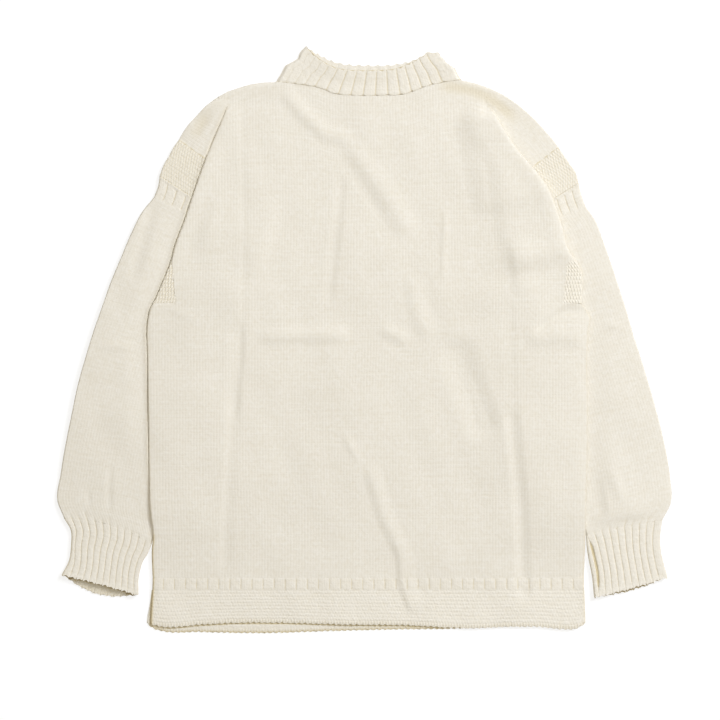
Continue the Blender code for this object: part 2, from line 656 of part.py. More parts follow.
def make_shoulder_band(name, top_line, seam, outline):
    """Garter-stitch band across the end of a shoulder, ridges along the armhole seam."""
    top = offset_seam(top_line, -1)
    foot = offset_seam(seam, 1)
    between = [point for point in outline if foot[0][1] + 4 < point[1] < top[0][1] - 4]
    side = smooth_path([top[0]] + between[::-1] + [foot[0]])
    steps = 2 * BAND_RIDGES
    outer, inner = [], []
    for step in range(steps + 1):
        t = step / steps
        ox, oy = side(t)
        ix, iy = mix(top[1][0], foot[1][0], t), mix(top[1][1], foot[1][1], t)
        row = [(mix(ox, ix, c / 4), mix(oy, iy, c / 4)) for c in range(5)]
        groove = GARTER_DEPTH * (step % 2 == 0)
        outer.append([(x, y, FLAT + 0.5 * ease(beyond_edge(x, y) / 5.0) - groove)
                      for x, y in row])
        inner.append([(x, y, LIE) for x, y in row])
    cloth_wall(name, outer, inner, shade=0.985)


def make_gusset(name, edge, seam, inwards):
    """Garter-stitch gusset between the body's side and the front."""
    seam_x = straight_line(seam)
    steps = 20
    outer, inner = [], []
    for step in range(steps + 1):
        y = mix(GUSSET_BASE + SEAM, GUSSET_TIP - SEAM, step / steps)
        start = edge(y)
        reach = abs(seam_x(y) - start) - SEAM
        groove = GARTER_DEPTH * (step % 2 == 0)
        row_outer, row_inner = [], []
        for distance in (0.0, min(1.2, 0.25 * reach), min(3.6, 0.6 * reach), reach):
            x = start + inwards * distance
            ridge = groove if distance > 0 else 0.0
            row_outer.append((x, y, front_top(x, y) - ridge))
            row_inner.append((x, y, front_under(x, y)))
        outer.append(row_outer)
        inner.append(row_inner)
    cloth_wall(name, outer, inner, shade=0.985)


def hem_sides(y):
    """Left and right ends of the hem's pieces."""
    down = (HEM - y) / (HEM - WELT_FOOT)
    return mix(-259.5, -261.0, ease(down)), mix(268.0, 269.5, ease(down))


def make_front_rib_band():
    outer, inner = [], []
    for y in (HEM - SEAM, RIB_FOOT + SEAM / 2):
        start, end = hem_sides(y)
        row_outer, row_inner = [], []
        for share, ridge in rib_columns(HEM_RIBS):
            x = mix(start, end, share)
            crease = max(crease_depth(x, y, BODY_CREASES), -0.6)
            row_outer.append((x, y, FLAT + crease - RIB_DEPTH * (1 - ridge)))
            row_inner.append((x, y, LIE + max(crease, 0.0)))
        outer.append(row_outer)
        inner.append(row_inner)
    cloth_wall("front_rib_band", outer, inner)


def make_front_welt():
    foot = smooth_line(FRONT_WELT_FOOT)
    steps = 2 * WELT_RIDGES
    outer, inner = [], []
    for step in range(steps + 1):
        row_outer, row_inner = [], []
        for column in range(WELT_COLUMNS + 1):
            share = column / WELT_COLUMNS
            low = mix(RIB_FOOT - SEAM / 2, WELT_FOOT, step / steps)
            start, end = hem_sides(low)
            x = mix(start, end, share)
            y = mix(RIB_FOOT - SEAM / 2, foot(x), step / steps)
            crease = max(crease_depth(x, y, BODY_CREASES), -0.6)
            groove = GARTER_DEPTH * (step % 2)
            row_outer.append((x, y, FLAT + 0.2 + crease - groove))
            row_inner.append((x, y, LIE + max(crease, 0.0)))
        outer.append(row_outer)
        inner.append(row_inner)
    cloth_wall("front_welt", outer, inner, shade=0.985)


def make_back_hem():
    """The back's rib band and welt, which lie flat under the front's."""
    foot = smooth_line(BACK_WELT_FOOT)
    level = ((HEM - SEAM, RIB_FOOT + SEAM / 2, "back_rib_band"),
             (RIB_FOOT - SEAM / 2, None, "back_welt"))
    for top, bottom, name in level:
        outer, inner = [], []
        for step in range(3):
            row = []
            for column in range(21):
                share = column / 20
                start = -259.0 if bottom else mix(-259.0, BACK_WELT_FOOT[0][0], step / 2)
                x = mix(start, 267.5, share)
                y = mix(top, bottom if bottom else foot(x), step / 2)
                row.append((x, y, WALL))
            outer.append(row)
            inner.append([(x, y, 0.0) for x, y, z in row])
        cloth_wall(name, outer, inner, shade=0.97)


def make_sweater():
    clear_scene()
    bpy.context.scene.collection.children.link(bpy.data.collections.new("guernsey sweater"))
    make_back()
    make_back_hem()
    make_front()
    make_front_rib_band()
    make_front_welt()
    make_collar()
    make_shoulder_band("left_shoulder_band", LEFT_BAND_TOP, LEFT_ARMHOLE, LEFT_SHOULDER)
    make_shoulder_band("right_shoulder_band", RIGHT_BAND_TOP, RIGHT_ARMHOLE, RIGHT_SHOULDER)
    make_head("left_sleeve_head", LEFT_HEAD, offset_seam(LEFT_ARMHOLE, -1))
    make_head("right_sleeve_head", RIGHT_HEAD, offset_seam(RIGHT_ARMHOLE, -1))
    make_sleeve("left_sleeve", LEFT_SLEEVE)
    make_sleeve("right_sleeve", RIGHT_SLEEVE)
    make_cuff("left_cuff", LEFT_CUFF, LEFT_CUFF_RIBS)
    make_cuff("right_cuff", RIGHT_CUFF, RIGHT_CUFF_RIBS)
    make_gusset("left_gusset", left_edge, LEFT_GUSSET_SEAM, 1)
    make_gusset("right_gusset", right_edge, RIGHT_GUSSET_SEAM, -1)


make_sweater()
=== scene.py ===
"""Guernsey fisherman sweater laid flat: its knitted cloth, creases, wool and light.

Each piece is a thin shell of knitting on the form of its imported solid, with real wales, ribs,
garter ridges, rolled folds and creases. The tables are in millimetres and MM turns them to
metres. X runs to the right as one looks down on the garment, Y towards the neck and Z up.
Left and right are the looker's.
"""

from math import hypot, pi, radians

import bmesh
import bpy
import numpy as np
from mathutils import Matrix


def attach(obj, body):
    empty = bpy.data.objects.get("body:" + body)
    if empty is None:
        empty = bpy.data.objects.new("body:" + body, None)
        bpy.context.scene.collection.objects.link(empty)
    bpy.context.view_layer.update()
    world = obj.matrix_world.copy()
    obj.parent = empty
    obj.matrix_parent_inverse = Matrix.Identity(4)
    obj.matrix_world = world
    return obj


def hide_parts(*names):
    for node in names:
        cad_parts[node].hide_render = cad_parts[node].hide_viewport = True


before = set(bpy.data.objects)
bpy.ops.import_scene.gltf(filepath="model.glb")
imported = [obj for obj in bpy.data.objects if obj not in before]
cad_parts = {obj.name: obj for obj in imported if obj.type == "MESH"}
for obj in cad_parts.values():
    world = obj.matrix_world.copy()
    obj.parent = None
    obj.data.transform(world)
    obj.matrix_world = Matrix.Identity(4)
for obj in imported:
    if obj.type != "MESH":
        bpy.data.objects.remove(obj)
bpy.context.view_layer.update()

MM = 0.001

# Cloth
WALL = 2.2           # one layer of five-ply wool
LIE = 3.0            # underside of the upper layer where nothing lifts it
FLAT = 5.2           # top of two layers
RIM = FLAT / 2       # outermost line of a folded edge that lies flat
SEAT = 0.4           # what such an edge's turned-back end rests on
FLOOR_GAP = 0.05     # underside of the lower layer over the floor
WALE = 3.5           # width of one stitch
COURSE = 2.6         # height of one stitch
WALE_RISE = 0.15     # height of a wale over the grooves beside it
PER_WALE = 4         # columns of points to each wale
EDGE_ROUND = 1.5     # how far in a folded edge rounds away
LEFT_ROUND = 1.3     # the same at the front's left fold, which was pressed flat
TOP_ROUND = 5.0      # the same where the front rounds down to the shoulder line
ROLL = (0.6, 1.1)    # how far the front rolls down to its left and right folds
ROLL_WIDTH = (8.0, 15.0)
EDGE_SHOWN = (18.0, 3.0)   # width over which creases fade at the left and right folds
# Near its tip the right fold grows flat and the creases fade: X where that begins and over what
# width, then the height where it begins and over what height
SOFT_FOLD = ((40.0, 80.0), (176.0, 100.0))
TIP_CLEAR = ((138.0, 12.0), (268.0, 16.0))
PUSHED = 2.2         # rise of the cloth that the left fold pushes up beside it
PUSHED_EDGE = 1.2    # its further rise close to the fold
PUSHED_WIDTH = (100.0, 7.0)       # widths over which both fall off
PUSHED_HEIGHTS = (-240.0, 252.0)  # heights between which it is pushed up
CURL = 3.0           # how far a folded edge turns back under
TURN = np.radians([90, 60, 30, 0])   # steps of that turn
DEEPEST = -2.4       # how far the body's creases together may press the cloth down
SLEEVE_DEEPEST = -1.4
LINING_SHARE = 0.5   # how much of a crease shows on the cloth's inner face
SLACK_LENGTHS = (38, 150, 14)   # shortest and longest wave of slack cloth, and how many
SLACK_RISE = 0.0016  # height of a wave to its length
RIB_RISE = 0.9       # height of a rib over the groove beside it
RIB_ROUND = 0.4      # how much of that is the rib's rounding over its two wales
RIB_CROWN = 0.14     # dip between those two wales
GARTER_RISE = 1.0    # height of a garter ridge over its furrow
KNOT = 1.4           # how far the knots stand out of the ribbed edges

# Gloom, shade painted into the wool's colour in grooves, creases, folds and openings: 0 in the
# open, 1 in an opening
BESIDE_GLOOM = 0.14  # on the cloth beside the left fold
BESIDE_WIDTH = 3.0
FOLD_GLOOM = 0.2     # on the outermost line of a folded edge
BARE_GLOOM = 0.9     # the same at the left side's foot, where no sleeve lies beside it
BARE_BELOW = -232.0  # height of that foot
SHOULDER_GLOOM = (0.13, 0.42)   # in the left and right shoulders' creases, per millimetre that they sink
SEAM_GLOOM = 0.4     # along the seam of the shoulder's wing and band
PLEAT_GLOOM = 0.28

# How finely the cloth is drawn
FRONT_ROWS = 152     # rows of the front's outer face, up to its shoulder line
LINING_ROWS = 48     # rows and columns of its inner face
LINING_COLUMNS = 30
BACK_SEAM_ROW = 64   # row of the back where the armhole seam begins
BACK_COLUMNS = 76
SLEEVE_ROWS = (142, 24)   # rows above the pleats and along them
HEAD_ROWS = 24
CUFF_ROWS = (44, 9)  # rows above the knotted edge and along it
GARTER_ROWS = 7      # rows to each ridge of a band or gusset
RIB_FINE = (0, 0.03, 0.065, 0.11, 0.18, 0.28, 0.39, 0.5, 0.61, 0.72, 0.82, 0.89, 0.935, 0.97)
RIB_COARSE = (0, 0.12, 0.35, 0.5, 0.65, 0.88)
EDGE_PLACE = 1e4     # place of a folded edge, beyond every column
SAME_PLACE = 1e-3    # places closer than this are joined straight across
PAST = 1e-6          # tiny share of a ridge that counts a furrow to the ridge after it

# Heights of the lines across the body
HEM = -290.0         # foot of the stocking stitch
RIB_FOOT = -305.6    # foot of the rib band, where the welts begin
WELT_FOOT = -347.0
GUSSET_BASE = 44.0
GUSSET_TIP = 96.0
GUSSET_TUCK = 1.5    # how far the front's stocking stitch runs on under a gusset
UNDERARM = 62.0      # above it the folds rest on the sleeves
FOLD_TIP = 286.0
SHOULDER_ENDS = (302.0, 306.5)   # the shoulder line's left and right ends
BACK_SHORT = 2.0     # how far the back stays below them
BEND_FROM = 150.0    # height above which rows take the shoulder line's shape
LOW_LINING = 240.0   # height above which the lining lies low behind the right fold

# The shoulders' outer cloth, called wings here, outside the folds
WING_TUCK = 6.0      # how far it runs on under the front
WING_PROUD = ((0.25, 0.2, -0.4), (0.5, 0.5, 0.05))   # its height at the tip and past it, by side
WING_FALL = 3.3      # how far the left one falls away to its edge near the tip

# Side of the body and, above the underarm, the fold over the armhole: height, X
LEFT_EDGE = ((-290, -257.6), (-270, -258.4), (-257, -258.4), (-243, -257), (-232, -256.6),
             (-222, -258.2), (-207, -259.8), (-159, -261.2), (-86, -262.2), (-25, -263),
             (25, -262.6), (36, -260.4), (50, -253.2), (69, -245.2), (96, -234.4), (113, -230.2),
             (146, -218.2), (176, -208.2), (219, -193), (260, -176), (286, -166.3),
             (320, -166.3))
RIGHT_EDGE = ((-290, 268), (-257, 269), (-196, 270.2), (-135, 272), (-73, 272), (-13, 271.5),
              (12, 273), (27, 275), (35, 271), (44, 265), (60, 265), (76, 265.5), (94, 259),
              (106, 251), (118, 246.5), (136, 242), (158, 235), (185, 224), (209, 206.5),
              (235, 185), (258, 170), (275, 160), (286, 152), (320, 152))

# Shoulder and neckline of the front: X, height
FRONT_TOP = ((-166.5, 302), (-137, 311), (-109, 313.5), (-81, 310.5), (-53, 305.6),
             (-36, 299), (-16, 297), (27, 297), (48, 298.3), (62, 302.6), (76, 308), (93, 312),
             (118, 315.5), (137, 311.5), (152, 306.5))
BACK_TOP = ((-166.5, 302), (-137, 311), (-109, 313.5), (-60, 310), (0, 308), (62, 310),
            (118, 315.5), (137, 311.5), (152, 306.5))

# Outline of each shoulder, from the armhole seam up: X, Y
LEFT_SHOULDER = ((-249.5, 200), (-243.4, 214), (-237.3, 224), (-232.4, 233.6), (-226.3, 243),
                 (-220, 253), (-213, 263), (-203.5, 273), (-195, 282.4), (-180, 294.6))
RIGHT_SHOULDER = ((261, 191.5), (257.5, 204), (250.7, 214), (243.8, 224), (237.3, 233.8),
                  (230, 243.4), (221.5, 253.2), (213, 263), (203, 272.7), (192, 282.4),
                  (172, 297))

# Underside of the body beside its edges, lifted by what lies below: height, front, back
SIDE_LIFT = ((-290, 0, 0), (-276, 0.6, 0.5), (-262, 1.6, 1.5), (-248, 3.0, 2.8),
             (-232, 4.7, 4.5), (-214, 5.7, 5.5), (62, 5.8, 5.6), (95, 5.0, 4.3), (150, 3.2, 0),
             (221, 3.1, 0), (250, 2.4, 0), (272, 1.8, 0), (281, 0.9, 0), (286, 0, 0),
             (320, 0, 0))
# Width that stays lifted before the cloth falls to the layer below: height, width
LIFTED_WIDTH = ((-290, 6), (-255, 10), (-200, 27), (-119, 41), (-50, 51), (12, 55), (44, 60),
                (60, 60), (98, 42), (150, 26), (221, 14), (286, 6), (320, 6))
FRONT_FALL = 140.0
BACK_FALL = 44.0
# Layers tucked in behind each fold, which thicken it: height, added thickness
TUCK = ((-290, 0), (30, 0), (60, 0.4), (100, 1.6), (150, 2.2), (215, 2.0), (255, 1.0),
        (286, 0), (320, 0))
TUCK_WIDTH = 30.0

# Creases: rise (below 0 for a trough), width towards the light and away from it, then the
# points of its line, which runs down or to the right
BODY_CREASES = (
    (2.6, 130, 26, ((128, 284), (135, 252), (141, 225), (146, 200), (150, 172), (156, 146))),
    (-1.8, 38, 110, ((160, 256), (166, 235), (173, 208), (180, 184), (185, 160), (191, 134),
                     (198, 104))),
    (1.9, 16, 13, ((-104, 303), (-86, 288), (-73, 273.5), (-59.5, 261), (-47, 250.5), (-26, 245.5),
                   (-10, 234))),
    (1.7, 22, 20, ((-20, 244), (-7.5, 219.5), (5, 203), (13, 192), (31.5, 166), (41.5, 149),
                   (50, 136.5), (58, 120.5))),
    (-0.6, 14, 14, ((-29, 231), (-4, 195), (26, 140))),
    (-0.9, 9, 12, ((-26, 205), (-31, 150), (-38, 90), (-44, 36))),
    (0.6, 8, 6, ((99, 164), (97, 109), (95, 66))),
    (1.4, 20, 15, ((58, 84), (62, 50), (69, 23), (88, -3))),
    (2.0, 16, 12, ((-134, 1.5), (-90, 4), (-41, 5), (-12, 6))),
    (2.0, 16, 10, ((12, 11), (34, 6), (60, -8))),
    (1.9, 18, 15, ((191, -1), (221, 3), (258, 2), (272, 0))),
    (-0.35, 9, 7, ((-149, 290), (-147, 170), (-147, 48), (-150, -49))),
    (-1.3, 9, 18, ((-151, 26), (-152.5, -18), (-155.5, -60), (-159, -104))),
    (-0.9, 14, 10, ((-157, -56), (-162, -130), (-167, -210), (-170, -290))),
    (2.4, 60, 55, ((-205, 146), (-165, 134), (-105, 116))),
    (3.4, 130, 62, ((150, 292), (164, 249.5), (173.9, 225), (182.4, 200.7), (187.3, 176.3),
                    (192.2, 151.9), (199.5, 127.5), (203.1, 103), (208, 78.7))),
    (1.5, 90, 20, ((132, 296), (137.3, 273.9), (143.4, 249.5), (158, 225), (168, 200.7),
                   (169, 176.3), (172.6, 151.9), (175, 127.5), (183.6, 103), (192.2, 78.7))),
    (1.1, 24, 12, ((175, 128), (183, 110), (186, 90), (188.5, 68), (192, 46))),
    (-2.7, 25, 32, ((114, 6), (118, -14), (122, -32), (129, -52), (137, -76), (145, -100),
                    (152, -124))),
    (-0.4, 9, 14, ((177, 52), (178, 20), (179, -25), (181, -75), (184, -112))),
    (-1.7, 13, 13, ((178, -80), (181, -110), (185, -150), (190, -200), (193, -270), (195, -325))),
    (1.6, 16, 12, ((4, -150), (15, -186), (25, -218), (36, -240), (44, -262))),
    (1.8, 20, 9, ((36, -240), (45, -266), (47, -291), (53, -313), (64, -338))),
    (0.9, 10, 8, ((-29, -110), (-16, -131), (-3, -154))),
    (-2.0, 7, 9, ((203, 5), (226, 24), (243, 34), (262, 35), (277, 32))),
    (1.1, 16, 16, ((221, 5), (246, 18), (274, 16))),
    (0.6, 8, 6, ((-243, 40), (-218, 29), (-193, 21))),
)
# Creases of the shoulders' outer cloth, which run on over the front above the folds' tips
SHOULDER_CREASES = (
    (-1.1, 12, 12, ((-186, 284), (-198, 262), (-211, 240))),
    (-0.5, 12, 12, ((84, 307), (98, 307.5), (114, 306.5), (136, 301), (154, 292.5), (167, 282.5),
                    (178, 273.5), (190, 262))),
)
SLEEVE_CREASES = (
    (-1.1, 12, 12, ((-256, 170), (-264, 136), (-274, 100), (-284, 66))),
    (0.8, 9, 9, ((-328, -7), (-268, -10))),
    (-0.7, 7, 7, ((-308, -150), (-311, -190), (-312, -222))),
    (-0.6, 6, 6, ((-336, -180), (-336, -216))),
    (-2.0, 13, 14, ((279, -160), (284, -196), (290, -225))),
    (1.0, 12, 12, ((298, -150), (316, -206))),
    (0.8, 9, 9, ((283, 20), (322, 14))),
)
FADE = 22.0          # length over which a crease begins and ends

# Sections of each sleeve, from head to cuff: outer X, outer Y, inner X, inner Y, bow, puff
LEFT_SLEEVE = (
    (-255.8, 173.6, -201.9, 143.8, 0, 0.0), (-270.2, 155.6, -202, 123.8, 0, 0.4),
    (-284, 128.7, -204.4, 98.2, 0, 0.8), (-296.4, 99.4, -208, 70.2, 0, 1.0),
    (-308.6, 70.2, -214.1, 42.1, 0, 1.0), (-319.8, 38.4, -219, 11.6, 0, 1.0),
    (-330, 9.2, -220.8, -17.7, 0, 0.8), (-339, -20.1, -222.7, -47, 0, 0.8),
    (-348.6, -54.3, -226.3, -79.9, 0, 0.8), (-356.8, -93.3, -231.2, -119, 0, 0.9),
    (-364.2, -129.9, -237.3, -156.8, -1, 0.7), (-369.8, -164.1, -244.6, -192.2, -3, 0.5),
    (-373.8, -196, -251.5, -221.4, -6, 0.4), (-365.4, -218, -258.8, -249.3, -8, 0.6))
RIGHT_SLEEVE = (
    (270.2, 161.5, 222.7, 143.2, 0, 0.0), (281.4, 145.8, 219, 120.2, 0, 0.4),
    (291.4, 120.2, 220.2, 93.3, 0, 0.8), (301, 93.3, 221.4, 65.3, 0, 1.0),
    (310.6, 64.1, 222.7, 37.2, 0, 1.0), (320.4, 33.6, 225.1, 7.9, 0, 1.0),
    (329.2, 3.1, 226.3, -21.4, 0, 1.0), (339, -27.5, 228.8, -51.9, 0, 1.0),
    (348.6, -59.2, 233.6, -84.8, 0, 1.2), (358.4, -94.6, 239.7, -121.4, 0, 1.4),
    (367, -131.2, 248.3, -158, 0, 1.8), (372.8, -166.5, 256.8, -192.2, -1, 2.4),
    (373.8, -199.5, 265.4, -220.2, -1, 2.8), (363.4, -220.2, 270.2, -238.9, -1, 0.7))
# Pleats where a sleeve is gathered into its cuff: their lengths, from left to right
LEFT_PLEATS = (9, 13, 26, 8, 10, 16, 5, 6, 8, 5, 4)
RIGHT_PLEATS = (5, 7, 9, 12, 8, 26, 14, 12, 14, 9)
PLEATED = 34.0        # length of the sleeve that is drawn finely for its pleats
CUFF_START = 0.7      # share of the ribs' relief where a cuff begins
LEAN = 2.8            # how much higher the left sleeve lies along its outer side
TUBE_TURN = 2.0       # how far in a pressed tube's underside rounds away

# Sections of each cuff: outer X, outer Y, inner X, inner Y, bow, height, back layer's reach
LEFT_CUFF = (
    (-365.4, -218, -258.8, -249.3, -8, 6.2, 0), (-357.4, -232, -263.8, -261.2, -6, 6.4, 0),
    (-357, -252, -270.4, -273, -4, 7.0, 2), (-359, -268, -274.5, -290, -2, 7.8, 6),
    (-367.6, -285.6, -274.6, -310.2, -1, 9.0, 13))
RIGHT_CUFF = (
    (363.4, -220.2, 270.2, -238.9, -1, 6.2, 0), (361, -236, 271.4, -254.4, -1, 6.4, 0),
    (361, -252, 273.5, -268, 0, 6.8, 1), (364, -269, 277.5, -288, 0, 7.2, 2),
    (369.4, -288.5, 280, -313.4, 1, 8.0, 3))
LEFT_CUFF_RIBS = 12
RIGHT_CUFF_RIBS = 11
# Where the ribs lie on each cuff: distance down it, first groove from its left side, last
# groove from its right side
LEFT_CUFF_LAY = ((0, 9.5, 8), (33, 4.9, 6), (71, 10.5, 5.3))
RIGHT_CUFF_LAY = ((0, 1.2, 10.3), (14, 5.5, 10), (27, 6.9, 10), (74, 5.3, 11))
# The right cuff is twisted, so its first groove opens into a slit: distance down, opening
CUFF_SLIT = ((8, 0), (15, 1), (54, 1), (63, 0))
SLIT_DEEP = 3.4

# Armhole seams: outline end X, Y, then an end hidden under the fold
LEFT_ARMHOLE = ((-249, 199.5), (-193.4, 162.9))
RIGHT_ARMHOLE = ((261.2, 190.8), (215.3, 162.6))
LEFT_HEAD = ((-251.2, 186, -198.3, 152.6), (-255.8, 173.6, -201.9, 143.8))
RIGHT_HEAD = ((264.7, 176.3, 219, 152), (270.2, 161.5, 222.7, 143.2))
HEAD_RIBS = 5
LEFT_BAND_TOP = ((-226, 242.6), (-188.5, 215.6))
RIGHT_BAND_TOP = ((237.4, 233.8), (201.5, 206))
BAND_RIDGES = 11

# Side of the back, which steps in above the underarm to lie beside the sleeve: height, X
BACK_LEFT = ((-290, -259), (-257, -260), (-237, -258), (-207, -260), (-86, -262.5), (22, -263.5),
             (31, -261), (44, -240), (60, -206.5), (70, -205), (98, -201.5), (124, -199),
             (144, -198.5), (153, -195), (163.4, -191.8), (221, -182), (286, -166.5),
             (320, -166.5))
BACK_RIGHT = ((-290, 267.5), (-257, 268.5), (-135, 271.5), (-13, 271), (12, 272.5), (26, 274),
              (32, 268), (44, 246), (60, 219), (93, 217.5), (120, 216.5), (144, 216.5),
              (153, 215), (163.2, 213), (212, 196), (286, 152), (320, 152))

# Neck: ends of the collar's base on the neckline, then its upper edges as X, Y
COLLAR_BASE_ENDS = (-107.5, 118.5)
COLLAR_REACH = 112   # distance from its middle that it covers to either side
COLLAR_FRONT_TOP = ((-71, 356.9), (-61.6, 346), (-48.2, 336.1), (-33.6, 329), (-13, 326.4),
                    (13, 326.4), (37, 328), (58, 336.1), (69, 342.2), (78.7, 347),
                    (89.7, 348.3), (93.3, 346))
COLLAR_BACK_TOP = ((-71, 356.9), (-61, 350), (-54, 346), (-35, 337.5), (-22, 334.8),
                   (0, 333.6), (37, 334.6), (58, 339), (69, 344), (79, 349.6), (93.3, 346))
# Sides of the collar, as distances from straight ones: share of its height, left, right
COLLAR_SIDES = ((0, 0, 0), (0.25, -2.4, 1.6), (0.47, -5.6, 4.2), (0.56, -1, 3.2),
                (0.67, 2.6, 0.4), (0.8, -0.5, -0.3), (0.9, -1.3, 0), (1, 0, 0))
COLLAR_RIBS = 16
# The ribs crowd towards the left: share of the ribs, share of the way along the collar
COLLAR_SPREAD = ((0, 0), (0.25, 0.21), (0.5, 0.47), (0.75, 0.732), (0.8125, 0.788), (0.875, 0.842),
                 (0.9375, 0.9), (1, 1))
COLLAR_OPENS = 2.0   # how far the front's edge stands away from the back's
COLLAR_EDGE = 0.88   # share of the height where the knotted edge begins

# Split hem: X, height of the welts' lower edges
FRONT_WELT_FOOT = ((-261, -345.9), (-246, -349), (-199.5, -346.4), (-155.6, -344.2),
                   (-102, -344.2), (-16.5, -346.4), (56.7, -347.4), (93, -349.5), (130, -350.8),
                   (180, -348.9), (218, -349.5), (242, -352), (259, -350.8), (269.5, -345))
BACK_WELT_FOOT = ((-264.5, -345), (-259, -350), (-246, -354.4), (-203, -355.6), (-121, -356.9),
                  (-40, -354.4), (50, -352.3), (93, -352), (136, -350.5), (190, -348),
                  (268, -344))
# Left and right ends of the rib bands at their top and of the welts at their foot
HEM_ENDS = (-257.6, 268.0)
WELT_ENDS = (-259.9, 269.5)
BACK_HEM_ENDS = (-259.0, 267.5)
BACK_WELT_ENDS = (-264.5, 267.5)
WELT_RIDGES = 10
WELT_WALES = 152
HEM_RIBS = 39
LEFT_GUSSET_SEAM = ((GUSSET_BASE, -228.3), (GUSSET_TIP, -233.2))
RIGHT_GUSSET_SEAM = ((GUSSET_BASE, 241), (GUSSET_TIP, 247))
GUSSET_RIDGES = 11


# ---------------------------------------------------------------- curves and heights

def ease(t):
    """0 to 1 with a level start and end."""
    t = np.clip(t, 0.0, 1.0)
    return t * t * (3.0 - 2.0 * t)


def mix(a, b, t):
    """What lies the share t of the way from a to b."""
    return a + (b - a) * t


def smooth_line(rows):
    """A smooth function through rows of (place, value)."""
    place, value = np.array(rows, float).T
    slope = np.gradient(value, place)

    def read(at):
        """The value at a place, or at the nearer end beyond the rows."""
        at = np.clip(at, place[0], place[-1])
        i = np.clip(np.searchsorted(place, at, side="right") - 1, 0, len(place) - 2)
        span = place[i + 1] - place[i]
        t = (at - place[i]) / span
        start = (1 + 2 * t) * (1 - t) ** 2 * value[i] + t * (1 - t) ** 2 * span * slope[i]
        end = t * t * (3 - 2 * t) * value[i + 1] + t * t * (t - 1) * span * slope[i + 1]
        return start + end

    return read


def straight_line(rows):
    """A function through rows of (place, value) with straight runs between them."""
    place, value = np.array(rows, float).T
    return lambda at: np.interp(at, place, value)


def smooth_path(points):
    """A smooth curve through points, read by the share of its length from 0 to 1."""
    points = np.array(points, float)
    steps = np.hypot(*np.diff(points, axis=0).T)
    share = np.concatenate([[0.0], np.cumsum(steps)]) / steps.sum()
    across = smooth_line(np.column_stack([share, points[:, 0]]))
    along = smooth_line(np.column_stack([share, points[:, 1]]))
    return lambda t: (across(t), along(t))


left_edge = smooth_line(LEFT_EDGE)
right_edge = smooth_line(RIGHT_EDGE)
front_lift = straight_line([(row[0], row[1]) for row in SIDE_LIFT])
back_lift = straight_line([(row[0], row[2]) for row in SIDE_LIFT])
lifted_width = straight_line(LIFTED_WIDTH)
tuck = straight_line(TUCK)
front_neck = smooth_line(FRONT_TOP)
back_neck = smooth_line(BACK_TOP)
front_foot = smooth_line(FRONT_WELT_FOOT)
back_foot = smooth_line(BACK_WELT_FOOT)


def crease_lines(creases, pieces=20):
    """Each crease as its rise, both widths and a smooth line of points."""
    lines = []
    for rise, lit, shaded, points in creases:
        line = np.column_stack(smooth_path(points)(np.linspace(0, 1, pieces + 1)))
        lines.append((rise, lit, shaded, line))
    return lines


def crease_height(x, y, lines):
    """Height that all creases together add at each point."""
    x, y = np.broadcast_arrays(np.asarray(x, float), np.asarray(y, float))
    total = np.zeros(x.shape)
    for rise, lit, shaded, line in lines:
        reach = max(lit, shaded)
        low, high = line.min(0) - reach, line.max(0) + reach
        near = (x > low[0]) & (x < high[0]) & (y > low[1]) & (y < high[1])
        if not near.any():
            continue
        px, py = x[near], y[near]
        steps = np.hypot(*np.diff(line, axis=0).T)
        gone = np.concatenate([[0.0], np.cumsum(steps)])
        nearest = np.full(px.shape, float(reach))
        place = np.zeros(px.shape)
        width = np.full(px.shape, float(reach))
        for (ax, ay), (bx, by), step, start in zip(line, line[1:], steps, gone):
            t = np.clip(((px - ax) * (bx - ax) + (py - ay) * (by - ay)) / step ** 2, 0, 1)
            away = np.hypot(px - mix(ax, bx, t), py - mix(ay, by, t))
            closer = away < nearest
            nearest = np.where(closer, away, nearest)
            place = np.where(closer, start + t * step, place)
            to_left = (bx - ax) * (py - ay) - (by - ay) * (px - ax)
            width = np.where(closer, np.where(to_left > 0, lit, shaded), width)
        whole = gone[-1]
        end_fade = ease(np.minimum(place, whole - place) / min(FADE, whole / 2))
        total[near] += rise * end_fade * ease(1.0 - nearest / width)
    return total


body_lines = crease_lines(BODY_CREASES)
shoulder_lines = crease_lines(SHOULDER_CREASES)
sleeve_lines = crease_lines(SLEEVE_CREASES)

slack_waves = []
slack_draw = np.random.default_rng(11)
for wavelength in np.geomspace(*SLACK_LENGTHS):
    heading = slack_draw.uniform(0, pi)
    slack_waves.append((wavelength, heading, slack_draw.uniform(0, 2 * pi)))


def slack(x, y):
    """Low unevenness of cloth that was folded in a drawer and smoothed by hand."""
    total = 0.0
    for wavelength, heading, start in slack_waves:
        along = x * np.cos(heading) + y * np.sin(heading)
        total = total + SLACK_RISE * wavelength * np.sin(2 * pi * along / wavelength + start)
    return total


def from_edge(x, y):
    """Distance in from the nearer side of the front, fold or body edge."""
    return np.minimum(x - left_edge(y), right_edge(y) - x)


def beyond_edge(x, y):
    """Distance out from the body's side or fold, where a sleeve shows."""
    return np.maximum(left_edge(y) - x, x - right_edge(y))


def lifted(inward, y, lift, fall):
    """How far a layer is raised by the sleeve or shoulder below it."""
    return lift(y) * (1.0 - ease((inward - lifted_width(y)) / fall))


def beyond(x, y, where):
    """0 to 1 as both X and height pass where they begin, over the widths given with them."""
    (from_x, over_x), (from_y, over_y) = where
    return ease((y - from_y) / over_y) * ease((x - from_x) / over_x)


def pressed(x, y):
    """Share of its lift that the front keeps: the right fold grows flat near its tip."""
    return 1.0 - beyond(x, y, SOFT_FOLD)


def over_tips(y):
    """0 below the tips of the front's folds, 1 above them."""
    return ease((y - FOLD_TIP + 10.0) / 8.0)


